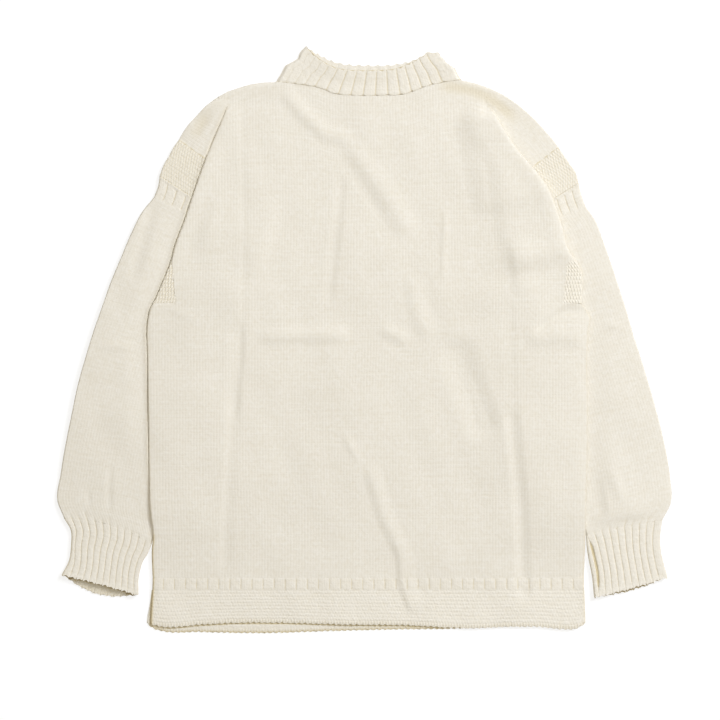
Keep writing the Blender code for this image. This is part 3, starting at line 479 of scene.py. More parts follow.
def front_crease(x, y, inward):
    """Creases of the front, which fade at its folds, and of the shoulder above their tips."""
    shown = np.maximum(ease(inward / np.where(x < 0, *EDGE_SHOWN)), over_tips(y))
    body = crease_height(x, y, body_lines) * shown * (1.0 - beyond(x, y, TIP_CLEAR))
    return body + crease_height(x, y, shoulder_lines) * over_tips(y) + slack(x, y)


def front_full(x, y):
    """Outer face of the front away from its folded edges."""
    inward = np.maximum(from_edge(x, y), 0.0)
    rise = lifted(inward, y, front_lift, FRONT_FALL) + tuck(y) * (1.0 - ease(inward / TUCK_WIDTH))
    rolled = 1.0 - np.clip(inward / np.where(x < 0, *ROLL_WIDTH), 0.0, 1.0)
    rise = rise - np.where(x < 0, *ROLL) * rolled ** 2
    crease = np.maximum(front_crease(x, y, inward), DEEPEST)
    return LIE + WALL + rise * pressed(x, y) + crease


def fold_seat(y):
    """Height of what a folded edge of the front rests on: the back, or above it the sleeve."""
    return mix(back_lift(y) + 0.2, FLAT + 0.1, ease((y - UNDERARM) / 33.0))


def fold_rim(y):
    """Height of the outermost line of a folded edge of the front."""
    return (fold_seat(y) + LIE + front_lift(y) + WALL + tuck(y)) / 2


def fold_ends(x, y):
    """Heights of a folded edge's outermost line and of its turned-back end."""
    rim = min(float(fold_rim(y)), float(front_full(x, y)) - 0.2)
    return rim, min(float(fold_seat(y)), rim - 0.3)


def pushed_up(x, y):
    """Rise of the cloth that lies against the left fold."""
    out = beyond_edge(x, y)
    wide, narrow = PUSHED_WIDTH
    foot, top = PUSHED_HEIGHTS
    rise = PUSHED * (1 - 0.4 * ease(out / wide)) + PUSHED_EDGE * (1 - ease(out / narrow))
    y = np.asarray(y)
    fade = (1 - ease((y - top) / 30.0)) * ease((y - foot) / 120.0)
    return rise * ease(out / 0.8) * fade * (np.asarray(x) < 0)


def rounded(inward, rim, full, radius=EDGE_ROUND):
    """Height over a folded edge, from its rim in to the full height."""
    turn = 1.0 - np.clip(inward / radius, 0.0, 1.0)
    return mix(rim, full, np.sqrt(1.0 - turn * turn))


def beside_fold(x, y):
    """Painted shadow on what lies beside the left fold, which turns from the light."""
    fade = 1.0 - ease((np.asarray(y) - FOLD_TIP + 6.0) / 6.0)
    out = beyond_edge(x, y) / BESIDE_WIDTH
    return np.where(np.asarray(x) < 0, BESIDE_GLOOM, 0.0) * fade * np.exp(-out ** 2)


def on_fold(x, y, inward):
    """Painted shade on the outermost line of a folded edge, most where no sleeve lies beside it."""
    bare = ease((BARE_BELOW - np.asarray(y)) / 10.0)
    side = np.where(np.asarray(x) < 0, mix(FOLD_GLOOM, BARE_GLOOM, bare), FOLD_GLOOM)
    return side * np.exp(-(inward / mix(1.5, 2.0, bare)) ** 2)


def shoulder_gloom(x, y):
    """Painted shade, golden, in the shoulders' creases, where the cloth is doubled."""
    strength = np.where(np.asarray(x) < 0, *SHOULDER_GLOOM)
    return strength * np.maximum(-crease_height(x, y, shoulder_lines), 0)


def bent_height(x, low, share, neck=front_neck):
    """Height of a row at X: rows near the top take the shoulder line's shape."""
    bend = ease((low - BEND_FROM) / (FOLD_TIP - BEND_FROM))
    return low + bend * (neck(x) - mix(*SHOULDER_ENDS, share))


def offset_seam(ends, shift):
    """The ends of a seam line moved up, or down where shift is below 0."""
    (ax, ay), (bx, by) = ends
    length = hypot(bx - ax, by - ay)
    normal = (-(by - ay) / length, (bx - ax) / length)
    if normal[1] < 0:
        normal = (-normal[0], -normal[1])
    return [(x + normal[0] * shift, y + normal[1] * shift) for x, y in ends]


# ---------------------------------------------------------------- stitches

def wale_relief(wale, course):
    """Fall from the crest of a wale to the grooves beside it, uneven as hand knitting is."""
    number = np.floor(wale)
    uneven = 1.0 + 0.16 * np.sin(7.13 * number) + 0.10 * np.sin(0.31 * course + 2.3 * number)
    return -WALE_RISE * uneven * (0.5 + 0.5 * np.cos(2 * pi * wale))


def drift(x, y):
    """How far a wale has wandered to the side."""
    return 1.3 * np.sin(y / 83 + x / 170) + 0.6 * np.sin(y / 31 - x / 90 + 1.3)


def rib_relief(phase, groove=0.12):
    """Fall from a rib's two knit wales to the purl groove beside it; phase is 0 in a groove."""
    side = np.minimum(phase, 1.0 - phase)
    crown = RIB_CROWN * np.exp(-((phase - 0.5) / 0.07) ** 2)
    round_top = RIB_ROUND * (1.0 - ease(side / 0.45))
    return -(RIB_RISE - RIB_ROUND) * (1.0 - ease(side / groove)) - crown - round_top


def rib_depth(phase, wide=0.045):
    """Highest in the groove beside a rib, 0 to 1: the shade painted there, and the shape of some
    knots and scallops.
    """
    return np.exp(-(np.minimum(phase, 1.0 - phase) / wide) ** 2)


def rib_wales(phase, groove=0.12):
    """Stitches across one rib: one purl, two knit, one purl."""
    return np.interp(phase, (0, groove * 0.7, 1 - groove * 0.7, 1), (0, 1, 3, 4))


def knots_at(wale):
    """0 to 1 over the knots of a cast-on or cast-off edge, one to each two wales."""
    return (1 - np.cos(pi * wale)) / 2


def garter_furrow(wale, ridge, filled=0.0, loop=0.34):
    """0 on the loops of a garter ridge, 1 in the furrow; ridge is whole in a furrow.

    filled tells how far the loops close the furrows, loop how far they part from each other.
    """
    row = np.floor(ridge)
    across = mix(filled, 1.0, np.sin(pi * (ridge - row)) ** 0.8)
    loops = 1 - loop + loop * np.cos(2 * pi * wale + pi * row + 0.7 * np.sin(5.3 * row))
    return 1.0 - across * loops


def seam_dots(s):
    """Painted shade along a seam, which shows between one stitch and the next."""
    return 0.5 + 0.5 * np.cos(2 * pi * s / WALE + 1.1 * np.sin(s / 5.3))


def rib_columns(ribs, phases):
    """Shares across a run of ribs, then the phase within each rib and the rib's number."""
    phase = np.append(np.tile(phases, ribs), 0.0)
    number = np.append(np.repeat(np.arange(ribs), len(phases)), ribs)
    return (number + phase) / ribs, phase, number


class Knitting:
    """The points, stitches and faces of one piece, gathered row by row."""

    def __init__(self):
        self.points = []
        self.stitches = []
        self.painted_shades = []
        self.faces = []
        self.count = 0

    # Each point also carries the shade painted on it, 0 to 1
    def row(self, places, x, y, z, wale, course, painted_shade=0.0, around=False):
        """Adds a row of points. It gives back their numbers and places along the row."""
        x, y, z, wale, course, painted_shade = np.broadcast_arrays(x, y, z, wale, course, painted_shade)
        self.points.append(np.column_stack([x, y, z]) * MM)
        self.stitches.append(np.column_stack([wale, course]))
        self.painted_shades.append(painted_shade)
        numbers = np.arange(self.count, self.count + len(x))
        places = np.asarray(places, float)
        self.count += len(x)
        if around:
            numbers = np.append(numbers, numbers[0])
            places = np.append(places, places[-1] + 1.0)
        return numbers, places

    def join(self, first, second):
        """Faces between two rows, matched by the places of their points."""
        (a, at_a), (b, at_b) = first, second
        if len(a) == len(b) and np.allclose(at_a, at_b, atol=SAME_PLACE):
            self.faces += np.column_stack([a[:-1], a[1:], b[1:], b[:-1]]).tolist()
            return
        a, b = a.tolist(), b.tolist()
        at_a, at_b = at_a.tolist() + [np.inf], at_b.tolist() + [np.inf]
        i = j = 0
        while i < len(a) - 1 or j < len(b) - 1:
            lead = at_a[i + 1] - at_b[j + 1]
            if i == len(a) - 1 or lead > SAME_PLACE:
                self.faces.append([a[i], b[j + 1], b[j]])
                j += 1
            elif j == len(b) - 1 or lead < -SAME_PLACE:
                self.faces.append([a[i], a[i + 1], b[j]])
                i += 1
            else:
                self.faces.append([a[i], a[i + 1], b[j + 1], b[j]])
                i += 1
                j += 1

    def shell(self, outer, inner, around=False):
        """Faces of a closed wall: outer rows, inner rows and the rims between them."""
        for rows in (outer, inner):
            for first, second in zip(rows, rows[1:]):
                self.join(first, second)
        self.join(outer[0], inner[0])
        self.join(outer[-1], inner[-1])
        if around:
            return
        for end in (0, -1):
            sides = []
            for rows in (outer, inner):
                numbers = np.array([row[0][end] for row in rows])
                sides.append((numbers, np.linspace(0, 1, len(rows))))
            self.join(*sides)

    def cast_off(self, name, node, material):
        """Makes the piece, hangs it on the root body and hides the imported part that it takes the
        place of.
        """
        mesh = bpy.data.meshes.new(name)
        mesh.from_pydata(np.concatenate(self.points).tolist(), [], self.faces)
        cloth = bmesh.new()
        cloth.from_mesh(mesh)
        bmesh.ops.recalc_face_normals(cloth, faces=cloth.faces)
        cloth.to_mesh(mesh)
        cloth.free()
        layer = mesh.uv_layers.new(name="stitches")
        corners = np.empty(len(mesh.loops), np.int32)
        mesh.loops.foreach_get("vertex_index", corners)
        layer.data.foreach_set("uv", np.concatenate(self.stitches)[corners].ravel())
        # The painted shade goes to the mesh as a point attribute, which the wool's colour reads
        painted_shades = mesh.attributes.new("painted_shade", "FLOAT", "POINT")
        painted_shades.data.foreach_set("value", np.clip(np.concatenate(self.painted_shades), 0, 1))
        mesh.shade_smooth()
        mesh.set_sharp_from_angle(angle=radians(80))
        mesh.materials.append(material)
        piece = bpy.data.objects.new(name, mesh)
        bpy.context.scene.collection.objects.link(piece)
        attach(piece, "root")
        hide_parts(node)


# ---------------------------------------------------------------- wool

def linear(hex_colour):
    """An sRGB hex colour as a linear one."""
    parts = [int(hex_colour[i:i + 2], 16) / 255 for i in (1, 3, 5)]
    return [p / 12.92 if p <= 0.04045 else ((p + 0.055) / 1.055) ** 2.4 for p in parts] + [1.0]


def add(tree, kind, inputs=(), **settings):
    """Adds a node with its settings; inputs are (socket, value or output) pairs."""
    node = tree.nodes.new(kind)
    for name, value in settings.items():
        setattr(node, name, value)
    for socket, value in inputs:
        if isinstance(value, bpy.types.NodeSocket):
            tree.links.new(value, node.inputs[socket])
        else:
            node.inputs[socket].default_value = value
    return node


def wool(name, yarn="#EDE9E0", dark_yarn_and_shade="#DED6C4", loose=0.8, vees=True):
    """Undyed worsted wool: matte, with a soft halo of fibres that the sheen gives.

    Each stitch is a V of two yarns, drawn from the stitch numbers in the UV map. Shade is
    painted into the colour where a piece marks it: golden in grooves, then olive and dark brown in
    openings.
    """
    material = bpy.data.materials.new(name)
    material.use_nodes = True
    tree = material.node_tree
    surface = tree.nodes["Principled BSDF"]

    def math(operation, a, b=0.0):
        """One sum of two values or outputs."""
        return add(tree, "ShaderNodeMath", ((0, a), (1, b)), operation=operation).outputs[0]

    stitches = add(tree, "ShaderNodeUVMap", uv_map="stitches").outputs["UV"]
    parts = add(tree, "ShaderNodeSeparateXYZ", ((0, stitches),))
    wale, course = parts.outputs["X"], parts.outputs["Y"]
    place = add(tree, "ShaderNodeTexCoord").outputs["Object"]

    # Row by row the yarn runs thicker and thinner, in streaks along each course
    stretched = add(tree, "ShaderNodeMapping", (("Vector", stitches), ("Scale", (0.045, 0.8, 1.0))))
    streaks = add(tree, "ShaderNodeTexNoise", (("Vector", stretched.outputs[0]), ("Scale", 1.0),
                                               ("Detail", 2.0), ("Roughness", 0.6)))
    # Fibres and plies, drawn at 1.3 mm because their own 0.02 mm is too fine to show
    fibres = add(tree, "ShaderNodeTexNoise", (("Vector", place), ("Scale", 760.0),
                                              ("Detail", 2.0), ("Roughness", 0.7)))
    # Loops lie a little unevenly, one stitch proud and the next sunk
    uneven = add(tree, "ShaderNodeTexNoise", (("Vector", place), ("Scale", 260.0),
                                              ("Detail", 1.0), ("Roughness", 0.5)))
    height = math("MULTIPLY", fibres.outputs["Fac"], 0.5)
    height = math("ADD", height, math("MULTIPLY", streaks.outputs["Fac"], 0.9))
    height = math("ADD", height, math("MULTIPLY", uneven.outputs["Fac"], loose))
    if vees:
        off_centre = math("ABSOLUTE", math("SUBTRACT", math("FRACT", wale), 0.5))
        leg = math("SINE", math("MULTIPLY", off_centre, 2 * pi))
        slant = math("SUBTRACT", course, math("MULTIPLY", off_centre, 1.5))
        yarn_round = math("SINE", math("MULTIPLY", math("FRACT", slant), pi))
        stitch = math("MULTIPLY", leg, math("ADD", math("MULTIPLY", yarn_round, 0.35), 0.65))
        height = math("ADD", height, math("MULTIPLY", stitch, 0.3))
    bump = add(tree, "ShaderNodeBump", (("Height", height), ("Distance", 0.3 * MM),
                                        ("Strength", 0.8)))
    # Random tone along the courses and from loop to loop; as the same noises raise and sink the
    # bump, sunk loops also get a little painted shade
    yarn_tone_and_shade = math("ADD", math("MULTIPLY", streaks.outputs["Fac"], 0.5),
                math("SUBTRACT", math("MULTIPLY", uneven.outputs["Fac"], 0.7), 0.1))
    colour = add(tree, "ShaderNodeMix", ((0, yarn_tone_and_shade), (6, linear(dark_yarn_and_shade)), (7, linear(yarn))),
                 data_type="RGBA")
    # Painted shade from the piece's mesh: white leaves the yarn as it is; golden, olive and dark
    # brown darken it in grooves, creases, folds and openings
    painted_shade = add(tree, "ShaderNodeAttribute", attribute_name="painted_shade").outputs["Fac"]
    painted_shade_ramp = add(tree, "ShaderNodeValToRGB", ((0, painted_shade),))
    stops = painted_shade_ramp.color_ramp.elements
    stops[0].color = (1.0, 1.0, 1.0, 1.0)
    stops[1].color = (0.24, 0.185, 0.1, 1.0)
    stops.new(0.85).color = (0.52, 0.43, 0.27, 1.0)
    stops.new(0.5).color = (0.82, 0.745, 0.545, 1.0)
    toned = add(tree, "ShaderNodeMix", ((0, 1.0), (6, colour.outputs[2]),
                                        (7, painted_shade_ramp.outputs["Color"])),
                data_type="RGBA", blend_type="MULTIPLY")
    tree.links.new(toned.outputs[2], surface.inputs["Base Color"])
    tree.links.new(bump.outputs[0], surface.inputs["Normal"])
    surface.inputs["Roughness"].default_value = 0.95
    surface.inputs["Specular IOR Level"].default_value = 0.2
    surface.inputs["Sheen Weight"].default_value = 0.25
    surface.inputs["Sheen Roughness"].default_value = 0.6
    return material


# Knit on every row and drawn smooth, so single stitches show as small Vs in upright lines
stocking_wool = wool("worsted wool, stocking stitch")
# Two knit and two purl stitches by turns: it springs, its loops lie loose and uneven
rib_wool = wool("worsted wool, two-by-two rib", dark_yarn_and_shade="#E1D9C7", loose=2.4)
# Knit and purl rows by turns: round loops in level ridges, with no Vs to be seen
garter_wool = wool("worsted wool, garter stitch", dark_yarn_and_shade="#E4DCCA", loose=2.4, vees=False)


# ---------------------------------------------------------------- front

def gusset_reach(low, edge, seam, inwards):
    """X where the front's stocking stitch begins: the body's edge, or beside the gusset."""
    if GUSSET_BASE + 1 < low < GUSSET_TIP - 3:
        return straight_line(seam)(low) - inwards * GUSSET_TUCK
    return edge(low)


def shoulder_start(outline, low, edge):
    """X where a row of the front begins: its edge, or the outline above the fold's tip."""
    if low <= FOLD_TIP:
        return edge(low)
    x, y = np.array(outline, float).T
    end = edge(FOLD_TIP)
    top = SHOULDER_ENDS[0] if end < 0 else SHOULDER_ENDS[1]
    return float(np.interp(low, np.append(y, top), np.append(x, end)))


def over_shoulders(low_left, low_right):
    """X where a row above the folds' tips begins and ends."""
    return (shoulder_start(LEFT_SHOULDER, low_left, left_edge),
            shoulder_start(RIGHT_SHOULDER, low_right, right_edge))


def with_ends(ends, middle):
    """X, Y and Z of a whole row, from those of its two turned-back ends and its middle."""
    return [np.concatenate([left, between, right[::-1]])
            for left, between, right in zip(ends[0], middle, ends[1])]


def front_row(knit, low_left, low_right):
    """One row of the front's outer face, from fold to fold."""
    over_fold = low_left > FOLD_TIP
    if over_fold:
        start, end = over_shoulders(low_left, low_right)
    else:
        start = gusset_reach(low_left, left_edge, LEFT_GUSSET_SEAM, 1)
        end = gusset_reach(low_right, right_edge, RIGHT_GUSSET_SEAM, -1)
    step = WALE / PER_WALE
    base = np.arange(np.floor(start / step) - 4, np.ceil(end / step) + 4) * step
    x = base + drift(base, low_left)
    inside = (x > start + 0.4) & (x < end - 0.4)
    base, x = base[inside], x[inside]
    folds = (left_edge(low_left), right_edge(low_right))
    share = (x - folds[0]) / (folds[1] - folds[0])
    low = mix(low_left, low_right, share)
    y = bent_height(x, low, share)
    inward = np.minimum(x - start, end - x) if over_fold else from_edge(x, y)
    full = front_full(x, y) + wale_relief(base / WALE, low / COURSE) * ease(inward / 3)
    over_shoulder = ease((np.abs(x - sum(COLLAR_BASE_ENDS) / 2) - COLLAR_REACH) / 5)
    from_top = np.maximum(front_neck(x) - y, 0)
    full = mix(full, rounded(from_top, RIM, full, TOP_ROUND), over_shoulder)
    if over_fold:
        z = rounded(inward, RIM, full)
    else:
        z = rounded(inward, np.minimum(fold_rim(y), full - 0.2), full,
                    np.where(x < 0, LEFT_ROUND, EDGE_ROUND))
    ends = []
    for edge_x, low_y, inwards in ((start, low_left, 1), (end, low_right, -1)):
        rim, seat = (RIM, SEAT) if over_fold else fold_ends(edge_x, low_y)
        ends.append((edge_x + inwards * CURL * (1 - np.cos(TURN)), np.full(len(TURN), low_y),
                     rim - (rim - min(seat, rim)) * np.sin(TURN)))
    count = np.arange(len(TURN))
    places = np.concatenate([-EDGE_PLACE - 3 + count, base, EDGE_PLACE + count])
    wale = np.concatenate([(start - 4 + count) / WALE, base / WALE, (end + 1 + count) / WALE])
    # Painted shade on the turned-under ends, on the folds' outermost line and in the shoulders'
    # creases
    painted_shade = np.concatenate([TURN / 2, on_fold(x, y, inward), TURN[::-1] / 6]) * (not over_fold)
    painted_shade[len(TURN):-len(TURN)] += shoulder_gloom(x, y) * over_tips(y)
    x, y, z = with_ends(ends, (x, y, z))
    return knit.row(places, x, y, z, wale, low_left / COURSE, painted_shade)


def front_lining_row(knit, low_left, low_right):
    """One row of the front's inner face."""
    start, end = left_edge(low_left), right_edge(low_right)
    share = np.linspace(0, 1, LINING_COLUMNS)[1:-1]
    x = mix(start, end, share)
    y = bent_height(x, mix(low_left, low_right, share), share)
    inward = from_edge(x, y)
    rise = lifted(inward, y, front_lift, FRONT_FALL) * pressed(x, y)
    z = LIE - 0.3 + rise + LINING_SHARE * np.maximum(front_crease(x, y, inward), -1.5)
    from_top = np.maximum(front_neck(x) - y, 0)
    z = np.minimum(z, mix(1.6, LIE, ease(from_top / 6)) + rise)
    over_fold = low_left > FOLD_TIP
    if over_fold:
        start, end = over_shoulders(low_left, low_right)
    ends = []
    for edge_x, low_y, inwards in ((start, low_left, 1), (end, low_right, -1)):
        rim, seat = (RIM, SEAT) if over_fold else fold_ends(edge_x, low_y)
        if edge_x > 0 and not over_fold:
            flat = ease((low_y - LOW_LINING) / 20.0)
            rim, seat = mix(rim, RIM, flat), mix(seat, 1.5, flat)
        ends.append((edge_x + inwards * np.array([4.2, 2.0, 4.0]), np.full(3, low_y),
                     np.array([min(seat + 1.0, rim), rim, max(2 * rim - seat - WALL, rim)])))
    apart = np.array([3, 1.5, 0])
    places = np.concatenate([-EDGE_PLACE - apart, x, EDGE_PLACE + apart[::-1]])
    x, y, z = with_ends(ends, (x, y, z))
    return knit.row(places, x, y, z, x / WALE, low_left / COURSE)


def over_edge(start, end, s, full, drop):
    """X, Y and Z of a shoulder's row: the end that turns under, then distances s along it."""
    wide = hypot(end[0] - start[0], end[1] - start[1])
    share = np.append(2.5 * (1 - np.cos(TURN[:-1])), s) / wide
    z = np.append(RIM - drop * np.sin(TURN[:-1]), rounded(s, RIM, full))
    return mix(start[0], end[0], share), mix(start[1], end[1], share), z


def behind_edge(start, end):
    """Distances along the lining of a shoulder's row, then its X, Y and Z."""
    wide = hypot(end[0] - start[0], end[1] - start[1])
    s = np.concatenate([[2.6, 2.0, 4.0], np.linspace(8, wide, 5)])
    z = np.concatenate([[1.0, RIM, LIE], np.full(5, LIE)])
    return s, mix(start[0], end[0], s / wide), mix(start[1], end[1], s / wide), z


def wing(knit, outline, band_top, edge, inwards, tip):
    """Cloth of the front outside a fold: wales run in from the shoulder's outline."""
    on_left = inwards > 0
    (start_x, start_y), (under_x, under_y) = offset_seam(band_top, 0.1)
    top = tip + WING_TUCK
    middle = [point for point in outline if start_y + 2 < point[1] < tip + 1]
    points = [(start_x, start_y), *middle, (shoulder_start(outline, top, edge), top)]
    side = smooth_path(points)
    length = sum(hypot(b[0] - a[0], b[1] - a[1]) for a, b in zip(points, points[1:]))
    rows = int(length / (WALE / PER_WALE))
    first_inset = abs(under_x - edge(under_y))
    outer, inner = [], []
    for number in range(rows + 1):
        climb = number / rows
        ox, oy = side(climb)
        past_tip = np.clip((oy - tip) / WING_TUCK, -1.5, 1)
        ox = ox + inwards * 1.2 * ease((past_tip - 0.3) / 0.7)
        iy = mix(under_y, top + 0.5, climb)
        inset = np.interp(climb, (0, 0.1, 0.8, 1), (first_inset, 5.0, 5.0, 3.0))
        ix = edge(iy) + inwards * inset
        wide = hypot(ix - ox, iy - oy)
        s = np.concatenate([[0, 0.4, 1.0, 1.9, 3.0], np.linspace(4.4, wide, 16)])
        x, y = mix(ox, ix, s / wide), mix(oy, iy, s / wide)

        # The cloth lies lower where it runs on under the front, and at its left edge
        proud = np.interp(past_tip, (-1.5, 0, 0.35, 1), (-0.1, *WING_PROUD[0 if on_left else 1]))
        reach = 9.0 if on_left else mix(9.0, 3.0, ease((past_tip + 0.4) / 0.4))
        under = ease((s - wide + reach) / (reach / 1.5))
        proud = mix(proud, min(proud, -0.15), under)
        fall = WING_FALL * on_left * (1 - ease((oy - tip + 20.0) / 16.0))
        fall = fall * (1 - np.clip(s / 24.0, 0, 1)) ** 2
        crease = np.maximum(crease_height(x, y, shoulder_lines) + slack(x, y), DEEPEST)

        wale = number / PER_WALE
        full = FLAT + proud + crease + pushed_up(x, y) - fall
        full = full + wale_relief(wale, s / COURSE) * ease(s / 3)
        # Painted shade in dots along the seam with the band, on the cloth beside the left fold and
        # in the shoulders' creases
        painted_gloom = np.maximum(SEAM_GLOOM * (number < 2) * seam_dots(s),
                           beside_fold(x, y) + shoulder_gloom(x, y))
        outer.append(knit.row(np.arange(len(s) + 3),
                              *over_edge((ox, oy), (ix, iy), s, full, drop=2.2), wale,
                              np.append(-TURN[:-1], s) / COURSE, np.append(np.zeros(3), painted_gloom)))
        if number % 6 == 0 or number == rows:
            s, x, y, z = behind_edge((ox, oy), (ix, iy))
            inner.append(knit.row(np.linspace(0, 22, len(s)), x, y, z, wale, s / COURSE))
    knit.shell(outer, inner)


def make_front():
    """The front: one sheet from fold to fold, and a wing outside each fold."""
    knit = Knitting()
    top = SHOULDER_ENDS[0]
    rise = (SHOULDER_ENDS[1] - HEM) / (top - HEM)
    lows = np.concatenate([np.linspace(HEM, top - 6, FRONT_ROWS),
                           top - np.array([4.4, 3.0, 1.8, 0.8, 0.0])])
    outer = [front_row(knit, low, HEM + (low - HEM) * rise) for low in lows]
    inner = [front_lining_row(knit, low, HEM + (low - HEM) * rise)
             for low in np.linspace(HEM, top, LINING_ROWS)]
    knit.shell(outer, inner)
    wing(knit, LEFT_SHOULDER, LEFT_BAND_TOP, left_edge, inwards=1, tip=FOLD_TIP)
    wing(knit, RIGHT_SHOULDER, RIGHT_BAND_TOP, right_edge, inwards=-1,
         tip=HEM + (FOLD_TIP - HEM) * rise)
    knit.cast_off("front_stocking_stitch", "front_panel", stocking_wool)


# ---------------------------------------------------------------- back

def make_back():
    """The back, which shows only at the shoulders' edges and from below."""
    knit = Knitting()
    left_side, right_side = straight_line(BACK_LEFT), straight_line(BACK_RIGHT)
    seams = (offset_seam(LEFT_ARMHOLE, 0.2), offset_seam(RIGHT_ARMHOLE, 0.2))
    paths = (smooth_path([seams[0][0]] + list(LEFT_SHOULDER[1:])),
             smooth_path([seams[1][0]] + list(RIGHT_SHOULDER[1:])))
    seam_y = seams[0][1][1]
    top = SHOULDER_ENDS[0] - BACK_SHORT
    rise = (SHOULDER_ENDS[1] - BACK_SHORT - HEM) / (top - HEM)
    lows = np.concatenate([np.linspace(HEM, seam_y, BACK_SEAM_ROW + 1),
                           np.linspace(seam_y, top, 21)[1:]])
    wings = [[], []], [[], []]
    outer, inner = [], []
    for number, low_left in enumerate(lows):
        low_right = HEM + (low_left - HEM) * rise
        start, end = left_side(low_left) + 4.5, right_side(low_right) - 4.5
        places = np.arange(BACK_COLUMNS)
        share = np.linspace(0, 1, BACK_COLUMNS)
        x = mix(start, end, share)
        low = mix(low_left, low_right, share)
        y = bent_height(x, low, share, back_neck)
        z = lifted(np.maximum(from_edge(x, y), 0), y, back_lift, BACK_FALL) + FLOOR_GAP
        inner.append(knit.row(places, x, y, z, x / WALE, low / COURSE))
        outer.append(knit.row(places, x, y, z + WALL - 0.3, x / WALE, low / COURSE))
        if number < BACK_SEAM_ROW:
            continue
        climb = (number - BACK_SEAM_ROW) / (len(lows) - 1 - BACK_SEAM_ROW)
        for side, path, point in ((0, paths[0], 0), (1, paths[1], -1)):
            ox, oy = path(climb)
            t = np.linspace(0.07, 1, 12)
            wx, wy = mix(ox, x[point], t), mix(oy, y[point], t)
            for face, wz in ((0, FLOOR_GAP), (1, WALL - 0.3)):
                wings[side][face].append(knit.row(np.arange(len(t)), wx, wy, wz, number / 2,
                                                  t * 20))
    knit.shell(outer, inner)
    for side in wings:
        knit.shell(side[1], side[0])
    knit.cast_off("back_stocking_stitch", "back_panel", stocking_wool)


# ---------------------------------------------------------------- tubes

def read_sections(sections):
    """Length of a pressed tube, a smooth line for each column of its sections, and its round."""
    sections = np.array(sections, float)
    steps = np.hypot(*np.diff(sections[:, :2], axis=0).T)
    along = np.concatenate([[0.0], np.cumsum(steps)])
    lines = [smooth_line(np.column_stack([along, column])) for column in sections.T]
    mean_round = 2 * float(np.mean(np.hypot(*(sections[:, 2:4] - sections[:, :2]).T)))
    return along[-1], lines, mean_round * MM


def tube_row(knit, ends, bow, height, s, lift, wale, course, places, painted_gloom, mouth=None,
             lined=True):
    """One ring of a pressed tube: its outer points, then its inner ones.

    s are distances from the left end over the upper layer, lift is their height over it and
    gloom the shade painted on them, deepest in a groove. Where the tube's open end shows, mouth
    gives the relief of the lower layer's inner face, how far that layer reaches out, how far the
    knots of both layers stand out, and the shade painted inside.
    """
    a, b = ends if ends[0][0] < ends[1][0] else ends[::-1]
    width = hypot(b[0] - a[0], b[1] - a[1])
    ex, ey = (b[0] - a[0]) / width, (b[1] - a[1]) / width
    nx, ny = ey, -ex
    half = height / 2
    relief, reach, knot, painted_dark = mouth or (0.0, 0.0, np.zeros(len(s)), 0.0)

    def place(at, shift):
        """X and Y at a distance along the ring, shifted towards the tube's mouth."""
        f = at / width
        along = bow * 4 * f * (1 - f) + shift
        return a[0] + ex * at + nx * along, a[1] + ey * at + ny * along

    turn = 3.2 if a[0] < 0 and mouth else TUBE_TURN
    side = np.minimum(s / turn, (width - s) / 1.6)
    low_s = np.array([0.0, 0.35 * TUBE_TURN, TUBE_TURN])
    low_z = np.array([half, 0.25 * half, FLOOR_GAP])
    if mouth:
        middle = s[(s > TUBE_TURN) & (s < width - TUBE_TURN)]
    else:
        middle = np.linspace(TUBE_TURN, width - TUBE_TURN, 12)[1:-1]
    under_s = np.concatenate([width - low_s, middle[::-1], low_s[::-1]])
    under_z = np.concatenate([low_z, np.full(len(middle), FLOOR_GAP), low_z[::-1]])
    top_z = rounded(side, half, height + lift * ease(side), radius=1.0)
    under_shift = reach * np.sin(pi * np.clip(under_s / width, 0, 1))
    under_shift = under_shift + np.interp(under_s, s, knot)
    x, y = place(np.concatenate([s, under_s]), np.concatenate([knot, under_shift]))
    outer = knit.row(np.concatenate([places, EDGE_PLACE + np.arange(len(under_s))]), x, y,
                     np.concatenate([top_z, under_z]), np.concatenate([wale, under_s / WALE]),
                     course, np.append(painted_gloom, np.zeros(len(under_s))), around=True)
    if not lined:
        return outer, None
    wall = 0.8 * WALL
    gap = max(half - wall, 0.3)
    top_s = np.clip(s, wall, width - wall) if mouth else np.linspace(wall, width - wall, 14)
    in_s = top_s[::-1]
    edge = ease(np.minimum(top_s, width - top_s) / TUBE_TURN - 0.4)
    in_z = half + gap * edge + 0.8 * np.maximum(np.interp(top_s, s, lift), 0) * edge
    back_z = half - (half - WALL) * edge[::-1]
    shift, top_shift = reach * np.sin(pi * in_s / width), 0.0
    if mouth:
        back_z = back_z + relief[::-1] * edge[::-1]
        shift, top_shift = shift + knot[::-1], knot
    x, y = place(np.concatenate([top_s, in_s]),
                 np.concatenate([top_shift + np.zeros(len(top_s)), shift]))
    in_places = np.concatenate([np.interp(top_s, s, places), EDGE_PLACE + np.arange(len(in_s))])
    if mouth:
        in_places[:len(s)] = places
    # Painted shade on the inner faces: half on the upper layer's, and on the lower one's as the
    # mouth gives
    inner = knit.row(in_places, x, y, np.concatenate([in_z, np.minimum(back_z, half)]),
                     np.concatenate([np.interp(top_s, s, wale), np.interp(in_s, s, wale)]),
                     course, np.append(np.full(len(top_s), 0.5), painted_dark + np.zeros(len(in_s))),
                     around=True)
    return outer, inner


def sleeve_columns(width, outer_on_left):
    """Distances across the upper layer, with wales parallel to the sleeve's outer fold."""
    step = WALE / PER_WALE
    base = np.concatenate([[0.0, 0.4], np.arange(1, np.floor((width - 0.5) / step) + 1) * step])
    base = np.append(base, width)
    places = np.append(base[:-1], EDGE_PLACE / 2)
    if outer_on_left:
        return base, places, base / WALE
    return (width - base)[::-1], -places[::-1], -(base / WALE)[::-1]


